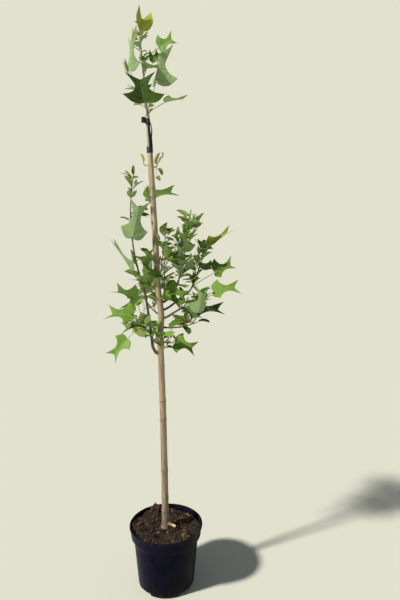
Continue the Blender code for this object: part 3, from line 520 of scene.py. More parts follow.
def chip(draw, place, long, wide, thick, tilt, ball):
    """A broken flake of bark: a ball pressed flat, split along its grain and turned any way."""
    corners, faces = ball
    turn = (Matrix.Rotation(draw.uniform(0, math.tau), 3, "Z") @ Matrix.Rotation(draw.gauss(0, tilt), 3, "X")
            @ Matrix.Rotation(draw.gauss(0, tilt), 3, "Y"))
    seed = Vector((draw.uniform(0, 99), draw.uniform(0, 99), draw.uniform(0, 99)))
    shaped = []
    for corner in corners:
        rough = 1 + 0.55 * noise.noise(corner * 1.7 + seed) + 0.25 * noise.noise(corner * 4 + seed)
        squared = Vector([math.copysign(abs(value) ** 0.6, value) for value in corner])
        shaped.append(place + turn @ Vector((squared.x * long, squared.y * wide, squared.z * thick)) * rough)
    return shaped, faces


chips = Pile()
for i in range(CHIP_COUNT):
    draw = random.Random(f"chip {i}")
    bearing, reach = draw.uniform(0, math.tau), CHIP_RIM * math.sqrt(draw.uniform(0.012, 1))
    x, y = reach * math.cos(bearing), reach * math.sin(bearing)
    long = min(CHIP_MOST, CHIP_LEAST + draw.expovariate(1 / CHIP_MORE))
    if math.hypot(x - TRUNK_FOOT_X, y) < CHIP_STEM + long or reach + long > CHIP_WALL:
        continue
    wide = long * draw.uniform(0.35, 0.75)
    place = Vector((x, y, bed_height(x, y) + 0.15 * long))
    flake = chip(draw, place, long, wide, wide * draw.uniform(0.25, 0.6), 0.45,
                 LARGE_LUMP if long > CHIP_FINE else SMALL_LUMP)
    chips.lay(*flake, tone=draw.choice(CHIP_DEAL))
draw = random.Random("the lumps at the back")
for bearing, reach, foot, tones, stack in LUMPS:
    for number, (tone, size) in enumerate(zip(tones, stack)):
        off = Vector((draw.uniform(-0.003, 0.003), draw.uniform(-0.003, 0.003), foot + LUMP_STEP * number))
        place = heading(bearing, 0) * reach + off
        chips.lay(*chip(draw, place, size, size * 0.85, size * 0.70, 0.3, FINE_LUMP), tone=tone)
chips.made("bark_chips", chip_finishes, None, "bark_compost")


def tube_faces(rings, sides, capped=True):
    """The faces of a tube of rings, each with as many sides, and of its two ends if it is capped."""
    faces = []
    for i in range(rings - 1):
        for k in range(sides):
            a, b = i * sides + k, i * sides + (k + 1) % sides
            faces.append((a, b, b + sides, a + sides))
    if capped:
        faces += [tuple(reversed(range(sides))), tuple(range((rings - 1) * sides, rings * sides))]
    return faces


def way_at(path, i):
    """The direction of a path at one of its points."""
    return (path[min(i + 1, len(path) - 1)] - path[max(i - 1, 0)]).normalized()


def rings_along(path, radii, sides, shape=None):
    """A tube's corners, faces and marks: rings square to a path, and shape(i, turn) swells and marks each."""
    corners, marks = [], []
    side = None
    for i, point in enumerate(path):
        run = way_at(path, i)
        side = Vector((1, 0, 0)) if side is None else side
        side = side - side.dot(run) * run
        side = (side if side.length > 0.05 else run.orthogonal()).normalized()
        ahead = run.cross(side)
        for k in range(sides):
            turn = math.tau * k / sides
            swell, mark = shape(i, turn) if shape else (0, 0)
            corners.append(point + (side * math.cos(turn) + ahead * math.sin(turn)) * (radii[i] + swell))
            marks.append(mark)
    return corners, tube_faces(len(path), sides), marks


strands = Pile()
for i in range(COIR_COUNT):
    draw = random.Random(f"strand {i}")
    bearing, reach = draw.uniform(0, math.tau), CHIP_RIM * math.sqrt(draw.uniform(0.05, 0.94))
    way = draw.uniform(0, 360)
    point = Vector((reach * math.cos(bearing), reach * math.sin(bearing), 0))
    path = []
    bend, high = draw.uniform(-14, 14), draw.uniform(0.0012, 0.0045)
    steps = draw.randint(5, 9)
    for k in range(steps):
        point = point + heading(way, 0) * COIR_STEP
        way += bend + draw.uniform(-14, 14)
        arch = high * math.sin(math.pi * k / steps)
        path.append(Vector((point.x, point.y, bed_height(point.x, point.y) + arch)))
    if all(COIR_STEM < p.xy.length < CHIP_RIM for p in path):
        thick = draw.uniform(0.00018, 0.00042)
        radii = [thick * (1 - 0.6 * k / steps) for k in range(steps)]
        strands.lay(*rings_along(path, radii, 4), tone=draw.choice((0, 0, 1)))
strands.made("coir_strands", (chip_finishes[3], chip_finishes[0]), 60, "bark_compost")

moss_finish = mottled("moss", (0.070, 0.115, 0.022), 0.8, (300,), (0.3, (0.030, 0.058, 0.012)),
                      (0.75, (0.125, 0.175, 0.036)), Specular_IOR_Level=0.3)[0]
moss = Pile()
for cx, cy, wide in MOSS_PATCHES:
    draw = random.Random(f"moss {cx}")
    for i in range(MOSS_BLADES):
        x, y = cx + draw.gauss(0, wide / 2), cy + draw.gauss(0, wide / 2)
        if math.hypot(x, y) > MOSS_WALL or math.hypot(x - TRUNK_FOOT_X, y) < MOSS_STEM:
            continue
        foot = Vector((x, y, bed_height(x, y) - 0.0005))
        lean = heading(draw.uniform(0, 360), draw.uniform(35, 85))
        tall = draw.uniform(0.0022, 0.0052)
        path = [foot, foot + lean * tall * 0.5, foot + lean * tall + Vector((0, 0, -0.2 * tall))]
        moss.lay(*rings_along(path, [0.0004, 0.0009, 0.00012], 4))
moss.made("moss", (moss_finish,), 60, "bark_compost")

# -------------------------------------------------------------------------------------------- The trunk
# The tree's single stem, two centimetres thick: smooth grey-tan young bark with fine stretch lines, pale
# raised breathing pores, ringed scars where leaves stood, and a knuckle at the top where growth restarts.

TRUNK_FOOT = COMPOST_LEVEL + 0.0003
TRUNK_TOP = 1.575
TRUNK_LEAN, TRUNK_BOW, TRUNK_SWAY = -0.0362, 0.010, 0.004
KINK_HEIGHT, KINK_SHIFT, KINK_SPAN = 0.930, 0.007, 0.050
FLARE, FLARE_SPAN = 0.0040, 0.014
TRUNK_RADII = ((0.19, 0.0118), (0.45, 0.0110), (0.85, 0.0104), (1.20, 0.0098), (1.44, 0.0092),
               (1.49, 0.0070), (1.575, 0.0050))
TRUNK_STEP = 0.040
SCARS = (0.250, 0.296, 0.396, 0.574, 0.637, 1.105, 1.345)
SCAR_SWELL, SCAR_SPAN = 0.0010, 0.007
SCAR_GROOVE, SCAR_DEPTH = 0.0016, 0.00055
EYES = (            # the height, bearing and half width of each round scar of a lost twig
    (0.637, 262, 0.0042), (0.396, 305, 0.0030), (0.250, 236, 0.0034), (1.105, 292, 0.0030),
    (0.760, 20, 0.0038), (0.520, 150, 0.0036), (1.345, 250, 0.0030), (0.880, 120, 0.0036),
    (1.215, 60, 0.0030))
EYE_RIM, EYE_DEPTH = 0.0011, 0.0016
TRUNK_SIDES = 60
BARK_STEP = 0.0022
RIDGES = ((2.2, 9, 0.00040), (5.5, 42, 0.00024), (13.0, 120, 0.00010))     # round, along and height
PORE_ROWS, PORE_ROUND, PORE_HEIGHT = 0.0085, 11, 0.00036
PORE_ABSENT, PORE_WIDE, PORE_TALL = 0.42, 0.21, 0.075       # shares of the places, of a column and of a row
KNUCKLE, KNUCKLE_SPAN, KNUCKLE_DROP = 0.0016, 0.006, 0.004


def trunk_centre(z):
    """The middle of the trunk at height z."""
    share = (z - TRUNK_FOOT) / (TRUNK_TOP - TRUNK_FOOT)
    kink = KINK_SHIFT * math.exp(-((z - KINK_HEIGHT) / KINK_SPAN) ** 2)
    x = TRUNK_FOOT_X + TRUNK_LEAN * (z - TRUNK_FOOT) + TRUNK_BOW * math.sin(math.pi * share) + kink
    return Vector((x, TRUNK_SWAY * math.sin(2.6 * math.pi * share), z))


def trunk_radius(z):
    """The trunk's radius at height z, with its flare at the root and a slight swelling at each scar."""
    for (low, low_radius), (high, high_radius) in zip(TRUNK_RADII, TRUNK_RADII[1:]):
        if z <= high:
            break
    radius = low_radius + (high_radius - low_radius) * (z - low) / (high - low)
    radius += FLARE * math.exp(-(z - TRUNK_FOOT) / FLARE_SPAN)
    return radius + SCAR_SWELL * sum(math.exp(-((z - scar) / SCAR_SPAN) ** 2) for scar in SCARS)


def bark_shape(path, radii, seed, depth=1.0, pores=1.0, rings=(), eyes=()):
    """How bark swells over a limb at ring i and turn round it, with a mark from -1, sunk, to 1, a pore."""
    runs = [0.0]
    for first, second in zip(path, path[1:]):
        runs.append(runs[-1] + (second - first).length)

    def shape(i, turn):
        run, radius = runs[i], radii[i]
        x, y = math.cos(turn), math.sin(turn)
        swell = 0.0
        for round_scale, along_scale, high in RIDGES:
            ridge = noise.noise(Vector((x * round_scale, y * round_scale, run * along_scale + seed)))
            swell += high * depth * (0.5 - 1.6 * abs(ridge))
        mark = max(-1.0, min(0.0, swell / (0.0006 * depth)))
        row, place = divmod(run / PORE_ROWS, 1)
        column, across = divmod(turn / math.tau * PORE_ROUND + 0.37 * row, 1)
        pick = noise.cell_vector(Vector((row + 0.5, column + 0.5, seed)))
        if pick.x > PORE_ABSENT:
            off = (((across - 0.3 - 0.4 * pick.y) / PORE_WIDE) ** 2
                   + ((place - 0.3 - 0.4 * pick.z) / PORE_TALL) ** 2)
            if off < 1:
                swell += PORE_HEIGHT * pores * (1 - off) * min(1, radius / 0.008)
                mark = 1 - off
        for ring in rings:
            near = (path[i].z - ring) / SCAR_GROOVE
            if abs(near) < 3:
                swell -= SCAR_DEPTH * math.exp(-near ** 2)
                mark -= 0.9 * math.exp(-near ** 2)
        for high, bearing, wide in eyes:
            up = (path[i].z - high) / (wide * 0.8)
            side = (math.degrees(turn) - bearing + 180) % 360 - 180
            out = math.hypot(up, math.radians(side) * radius / wide)
            if out < 2.2:
                swell += (EYE_RIM * math.exp(-((out - 1) / 0.38) ** 2)
                          - EYE_DEPTH * math.exp(-(out / 0.55) ** 2))
                mark = max(-1.0, mark - 1.4 * math.exp(-(out / 0.6) ** 2))
        return swell, mark

    return shape


# Young bark seen close: stretch lines along the stem, pale pores and dark lines where the mark says, and a
# green-grey film in patches.
bark, bark_in, bark_out = new_group(
    "young_bark", (("Mark", "Float", 0.0), ("Bark", "Color", (0.3, 0.2, 0.1, 1)),
                   ("Line", "Color", (0.1, 0.06, 0.04, 1)), ("Pore", "Color", (0.5, 0.4, 0.3, 1)),
                   ("Film", "Color", (0.2, 0.2, 0.12, 1)), ("Filmed", "Float", 0.3)),
    (("Tone", "Color"), ("Height", "Float")))
streaks = over(bark, 240, (1, 1, 0.05), 6.0, 0.65)
clouds = over(bark, 26, (1, 1, 0.30), 4.0)
barked = mixed(bark, ranged(bark, streaks, 0.36, 0.60), bark_in["Line"], bark_in["Bark"])
barked = mixed(bark, sums(bark, "MULTIPLY", clouds, bark_in["Filmed"]), barked, bark_in["Film"])
barked = mixed(bark, ranged(bark, bark_in["Mark"], 0.15, 0.75, 0.0, 0.75), barked, bark_in["Pore"])
barked = mixed(bark, ranged(bark, bark_in["Mark"], -0.25, -1.0, 0.0, 0.85), barked, bark_in["Line"])
bark.links.new(barked, bark_out["Tone"])
bark.links.new(sums(bark, "ADD", streaks, sums(bark, "MULTIPLY", over(bark, 800), 0.3)), bark_out["Height"])


def bark_finish(name, tone, line, pore, film, filmed, roughness, soiled=False):
    """A finish of bark in its own tones; soiled adds the splash at the foot and pales the bark upwards."""
    made, tree, shader = new_finish(name, tone, roughness, Specular_IOR_Level=0.35)
    mark = add(tree, "Attribute", attribute_name="mark").outputs["Fac"]
    laid = add(tree, "Group", {"Mark": mark, "Bark": tone, "Line": line, "Pore": pore, "Film": film,
                               "Filmed": filmed}, node_tree=bark).outputs
    shown = laid["Tone"]
    if soiled:
        worn = ranged(tree, place_on(tree)["Z"], 0.35, 1.25, 0.78, 1.22)
        shown = add(tree, "HueSaturation", {"Color": shown, "Value": worn}).outputs[0]
        soil = sums(tree, "MULTIPLY", splashed(tree, 0.190, 0.045, 160.0), 0.8)
        shown = mixed(tree, soil, shown, (0.060, 0.036, 0.024))
    tree.links.new(shown, shader["Base Color"])
    raised(tree, shader, laid["Height"], 0.00025)
    return made


trunk_bark = bark_finish("stem_bark", (0.54, 0.40, 0.265), (0.170, 0.105, 0.062), (0.66, 0.55, 0.40),
                         (0.34, 0.315, 0.200), 0.50, 0.72, soiled=True)
heights = [TRUNK_FOOT, TRUNK_FOOT + 0.0012]
while heights[-1] < TRUNK_TOP - 1.5 * BARK_STEP:
    heights.append(heights[-1] + BARK_STEP)
path = [trunk_centre(z) for z in heights] + [trunk_centre(TRUNK_TOP)]
radii = [trunk_radius(p.z) + KNUCKLE * math.exp(-((p.z - TRUNK_TOP + KNUCKLE_DROP) / KNUCKLE_SPAN) ** 2)
         for p in path]
trunk = Pile()
trunk.lay(*rings_along(path, radii, TRUNK_SIDES, bark_shape(path, radii, 0.0, rings=SCARS, eyes=EYES)))
trunk.made("trunk_bark", (trunk_bark,), 60, "stem_bark", "trunk")

# ------------------------------------------------------------------------------- The binding of the graft
# Black stretch tape wound twice round the stem, above and below the union, with two flat strands pulled up
# the front between the windings and a loose end standing out at the top.

TAPE_WINDINGS = ((1.4570, 1.4800, 5), (1.5455, 1.5685, 5))      # lowest and highest edge, and turns
TAPE_THICK = 0.0011
TAPE_TURN = 40              # steps in a turn
TAPE_START, TAPE_SLOPE = 200, 0.05
TAPE_CREASE = 0.00035
STRAND_LINES = (            # (height, bearing, gap) up each strand, and its half width and thickness
    (((1.470, 292, 0.0003), (1.490, 290, 0.0006), (1.512, 287, 0.0008), (1.530, 283, 0.0006),
      (1.552, 282, 0.0003)), 0.0034, 0.0011),
    (((1.470, 338, 0.0003), (1.490, 336, 0.0012), (1.508, 333, 0.0016), (1.524, 345, 0.0034),
      (1.538, 350, 0.0034), (1.554, 340, 0.0003)), 0.0036, 0.0013))
TAB_REACH, TAB_WIDTH, TAB_BEARING, TAB_THICK, TAB_STEPS = 0.0165, 0.019, 200, 0.0010, 12
RIBBON_SIDES = 12

tape, tree, shader, creases = mottled("black_tape", (0.012, 0.014, 0.018), 0.38, (160, (1, 1, 3.5), 5),
                                      (0.35, (0.008, 0.009, 0.012)), (0.75, (0.034, 0.036, 0.040)), IOR=1.5)
tree.links.new(sums(tree, "ADD", sums(tree, "MULTIPLY", creases, 0.3), 0.22), shader["Roughness"])
raised(tree, shader, creases, 0.0004)


def ribbon(path, across, outs, half, thick, crown=0.25):
    """A flat band along a path: a rounded section, half wide on each side and thick, set by its two ways."""
    turns = [math.tau * k / RIBBON_SIDES for k in range(RIBBON_SIDES)]
    section = [(math.cos(turn), math.sin(turn)) for turn in turns]
    corners = []
    for point, side, out in zip(path, across, outs):
        for x, z in section:
            flat = math.copysign(abs(x) ** 0.6, x)
            corners.append(point + side * half * flat + out * thick * (0.5 * z + crown * (1 - flat * flat)))
    return corners, tube_faces(len(path), RIBBON_SIDES)


def bent(points, steps):
    """A smooth line through points, with a few steps between each two."""
    line = []
    for i in range(len(points) - 1):
        a, b, c, d = (points[max(0, min(len(points) - 1, i + k))] for k in (-1, 0, 1, 2))
        for k in range(steps):
            t = k / steps
            line.append(((b * 2) + (c - a) * t + (a * 2 - b * 5 + c * 4 - d) * t * t
                         + (b * 3 - a - c * 3 + d) * t ** 3) / 2)
    return line + [points[-1]]


binding = Pile()
for low, high, turns in TAPE_WINDINGS:
    wide = (high - low) / turns * 0.95
    path, across, outs = [], [], []
    for k in range(turns * TAPE_TURN + 1):
        turn = k * (360 // TAPE_TURN)
        z = low + wide + (high - low - 2 * wide) * k / (turns * TAPE_TURN)
        out = heading(turn + TAPE_START, 0)
        lapped = TAPE_THICK * (0.65 + 0.35 * ((k % TAPE_TURN) / TAPE_TURN))
        lapped += TAPE_CREASE * noise.noise(Vector((turn * 0.02, low, 1)))
        path.append(trunk_centre(z) + out * (trunk_radius(z) + lapped))
        across.append((Vector((0, 0, 1)) + heading(turn + TAPE_START + 90, 0) * TAPE_SLOPE).normalized())
        outs.append(out)
    binding.lay(*ribbon(path, across, outs, wide, TAPE_THICK))
for line, half, thick in STRAND_LINES:
    places = [trunk_centre(z) + heading(bearing, 0) * (trunk_radius(z) + gap + thick * 0.6)
              for z, bearing, gap in line]
    path = bent(places, 8)
    outs = bent([heading(bearing, 0) for z, bearing, gap in line], 8)
    across = [way_at(path, i).cross(out).normalized() for i, out in enumerate(outs)]
    binding.lay(*ribbon(path, across, outs, half, thick * 2))
top = TAPE_WINDINGS[1][1] - TAB_WIDTH / 2
out = heading(TAB_BEARING, 0)
root = trunk_centre(top) + out * (trunk_radius(top) + 0.0002)
flat = heading(TAB_BEARING + 90, 0)
path = [root + out * TAB_REACH * k / TAB_STEPS + flat * 0.004 * math.sin(2.6 * k / TAB_STEPS)
        + Vector((0, 0, 0.0015 * math.sin(3 * k / TAB_STEPS))) for k in range(TAB_STEPS + 1)]
upright = [Vector((0, 0, 1))] * len(path)
binding.lay(*ribbon(path, upright, [flat] * len(path), TAB_WIDTH / 2, TAB_THICK, 0.6))
binding.made("graft_binding", (tape,), 50, "black_tape", "graft_tape")

# ------------------------------------------------------------------------------------ The side branches
# Seven shoots of last year's wood that leave the stem where it was cut back: dark olive-brown bark with
# fine pores, each thickened at its foot. Low down is the stub of a pruned root sucker, sawn off cream.

COLLAR = 0.005              # a limb's first stretch, on its root's heading
COLLAR_TURN = 0.008         # length over which it then turns to its own
LIMB_STEP = 0.022
GAP = 0.0003
FOOT_SWELL, FOOT_SPAN = 0.0016, 0.006
BOUGH_SIDES, BOUGH_STEP = 26, 0.0016
STUB_SIDES, STUB_STEP, STUB_SWELL, STUB_SPAN = 28, 0.0012, 0.0024, 0.005
LET_IN = 0.003              # how far a limb's foot runs into what carries it
Bough = namedtuple("Bough", "name height compass rise length thick tip bow sway", defaults=(0, 0))
BOUGHS = (
    Bough("cut_stub", 0.2065, 332, -6, 0.027, 0.0046, 0.0042),
    Bough("left_bough", 0.805, 196, 82.5, 0.210, 0.0052, 0.0036, bow=-4, sway=-8),
    Bough("left_low_bough", 0.868, 176, 30, 0.045, 0.0032, 0.0026, bow=10),
    Bough("right_high_bough", 0.972, 12, 52, 0.060, 0.0036, 0.0028, bow=14),
    Bough("right_outer_bough", 0.948, 24, 36, 0.110, 0.0036, 0.0026),
    Bough("right_mid_bough", 0.922, 338, 34, 0.058, 0.0040, 0.0030, bow=-12),
    Bough("right_low_bough", 0.890, 350, 4, 0.050, 0.0030, 0.0024, bow=6),
    Bough("back_bough", 0.905, 100, 46, 0.085, 0.0038, 0.0028, bow=10),
)


def trunk_path():
    """Points and radii up the trunk. The first stretch is upright, so that the cut at its foot is level."""
    heights = [TRUNK_FOOT + TRUNK_STEP * i for i in range(1, int((TRUNK_TOP - TRUNK_FOOT) / TRUNK_STEP))]
    heights = [z for z in heights if min(abs(z - scar) for scar in SCARS) > 2 * SCAR_SPAN]
    heights += [scar + side * SCAR_SPAN for scar in SCARS for side in (-1.5, 0, 1.5)]
    heights += [TRUNK_FOOT + FLARE_SPAN, TRUNK_RADII[-3][0], TRUNK_RADII[-2][0], TRUNK_TOP]
    foot = trunk_centre(TRUNK_FOOT)
    lift = Vector((0, 0, FLARE_SPAN / 4))
    path = [foot, foot + lift] + [trunk_centre(z) for z in sorted(heights)]
    return path, [trunk_radius(point.z) for point in path]


def trunk_at(z):
    """The middle, the direction and the radius of the trunk as built, at height z."""
    path, radii = trunk_path()
    i = next(i for i in range(1, len(path)) if path[i].z >= z)
    share = (z - path[i - 1].z) / (path[i].z - path[i - 1].z)
    up = (path[i] - path[i - 1]).normalized()
    return path[i - 1].lerp(path[i], share), up, radii[i - 1] + (radii[i] - radii[i - 1]) * share


def trunk_side(limb):
    """Where a limb starts, just clear of the trunk's side, and the compass and rise square to that side."""
    centre, up, radius = trunk_at(limb.height)
    radius = max(radius, trunk_at(limb.height - limb.thick)[2])
    out = heading(limb.compass, 0)
    out = (out - out.dot(up) * up).normalized()
    root = (math.degrees(math.atan2(out.y, out.x)), math.degrees(math.asin(out.z)))
    return centre + out * (radius + GAP), root


def limb_path(start, root, limb):
    """Points and radii along a limb: a short collar on its root's heading, then a turn to the limb's own."""
    steps = max(3, round(limb.length / LIMB_STEP))
    step = (limb.length - COLLAR) / steps
    path = [start, start + COLLAR * heading(*root)]
    for i in range(steps):
        share = (i + 0.5) / steps
        rooted = math.exp(-(i + 0.5) * step / COLLAR_TURN)
        rise = limb.rise + limb.bow * (share - 0.5)
        compass = limb.compass + limb.sway * share
        across = (root[0] - compass + 180) % 360 - 180
        path.append(path[-1] + step * heading(compass + across * rooted, rise + (root[1] - rise) * rooted))
    return path, [limb.thick] + [limb.thick + (limb.tip - limb.thick) * i / steps for i in range(steps + 1)]


def along(path, share):
    """The point at a share of a path's steps."""
    place = min(share, 0.9999) * (len(path) - 1)
    i = int(place)
    return path[i].lerp(path[i + 1], place - i)


def rooted_path(limb, boughs):
    """The path of a limb, which starts clear of the trunk or of the bough that it grows from."""
    root = getattr(limb, "root", "trunk")
    if root != "trunk":
        path = boughs[root][0]
        last = (path[-1] - path[-2]).normalized()
        bearing = math.degrees(math.atan2(last.y, last.x))
        return limb_path(path[-1] + last * GAP, (bearing, math.degrees(math.asin(last.z))), limb)
    if limb.height >= TRUNK_TOP:
        last = (trunk_centre(TRUNK_TOP) - trunk_centre(TRUNK_TOP - TRUNK_STEP)).normalized()
        root = (limb.compass, math.degrees(math.asin(last.z)))
        return limb_path(trunk_centre(TRUNK_TOP) + last * GAP, root, limb)
    return limb_path(*trunk_side(limb), limb)


def smoothed(path, radii, step, root=0.0):
    """A limb's path and radii in even short steps, let into what carries it by root."""
    runs = sum((b - a).length for a, b in zip(path, path[1:]))
    steps = max(2, round(runs / step / (len(path) - 1)))
    line = bent(path, steps)
    wide = [radii[min(len(radii) - 1, i // steps)] * (1 - i % steps / steps)
            + radii[min(len(radii) - 1, i // steps + 1)] * (i % steps / steps) for i in range(len(line))]
    if root:
        start = line[0] - (line[1] - line[0]).normalized() * root
        line, wide = [start] + line, [wide[0]] + wide
    return line, wide


bough_bark = bark_finish("bough_bark", (0.150, 0.098, 0.058), (0.050, 0.032, 0.022), (0.30, 0.22, 0.14),
                         (0.135, 0.125, 0.070), 0.5, 0.62)
boughs = {bough.name: rooted_path(bough, {}) for bough in BOUGHS}
side_boughs = Pile()
for number, bough in enumerate(BOUGHS[1:]):
    path, radii = smoothed(*boughs[bough.name], BOUGH_STEP, LET_IN)
    radii = [radius + FOOT_SWELL * math.exp(-(BOUGH_STEP * i) / FOOT_SPAN) for i, radius in enumerate(radii)]
    side_boughs.lay(*rings_along(path, radii, BOUGH_SIDES, bark_shape(path, radii, 7.0 + number, 0.55, 0.8)))
side_boughs.made("side_boughs", (bough_bark,), 60, "twig_bark", *[bough.name for bough in BOUGHS[1:]])

sawn_wood, tree, shader, grain = mottled(
    "sawn_wood", (0.72, 0.55, 0.33), 0.6, (420, (0.3, 0.3, 1.0), 6), (0.30, (0.46, 0.29, 0.14)),
    (0.50, (0.74, 0.56, 0.34)), (0.75, (0.86, 0.72, 0.48)))
raised(tree, shader, grain, 0.0005)
stub = Pile()
path, radii = smoothed(*boughs["cut_stub"], STUB_STEP, LET_IN)
radii = [radius + STUB_SWELL * math.exp(-STUB_STEP * i / STUB_SPAN) for i, radius in enumerate(radii)]
corners, faces, marks = rings_along(path, radii, STUB_SIDES, bark_shape(path, radii, 31.0, 0.9, 0.5))
middle = path[len(path) // 2].x
sawn = [int(sum(corners[i].x for i in face) / len(face)
            > middle + 0.004 * noise.noise(corners[face[0]] * 160)) for face in faces]
stub.lay(corners, faces, marks, sawn)
stub.made("pruned_stub", (trunk_bark, sawn_wood), 50, "cut_wood", "cut_stub")

# -------------------------------------------------------------------------------------------- The crown
# How this year's growth is set out: every shoot's stem, and every leaf on its stalk, a fixed turn on from
# the last, kept clear of the rest of the tree. Nothing is made here; the next sections make it.

OUTLINE = ((0.38, -0.03), (0.68, 0.235), (0.22, 0.53), (0.49, 1.01))
MIDRIB = (0.0, 0.20, 0.52, 0.84)
CLEFT_OUTLINE = ((0.40, 0.08), (0.51, 0.45), (0.40, 1.0))
CLEFT_MIDRIB = (0.0, 0.24, 0.58)
YOUNG_OUTLINE = ((0.30, 0.04), (0.42, 0.34), (0.28, 0.78))
YOUNG_MIDRIB = (0.0, 0.40, 0.97)
YOUNG_BLADE = 0.058         # leaves shorter than this have the young outline
CLEFT_STALK = 0.008         # and longer ones on a shorter stalk than this the cleft one
LEAF_THICKNESS = 1 / 50
LEAST_THICKNESS = 0.0009
SPINE_STEPS = 16
STALK_SUNK = 0.16
STALK_RADIUS = 0.0013
CLEARANCE = 0.0015
TRIES = 14
LEAF_TURN = 144
SPRIG_LEAVES = 3
Shoot = namedtuple("Shoot", "name root height compass rise length thick tip leaves blade stance bow sway "
                            "first lowest fold sprigs sector shown", defaults=(0, 0, 0, 0.15, 22, 0, 75, ()))
Leaf = namedtuple("Leaf", "share compass rise stalk pitch blade turn roll droop fold width",
                  defaults=(0, 0, 30, 18, 1.0))

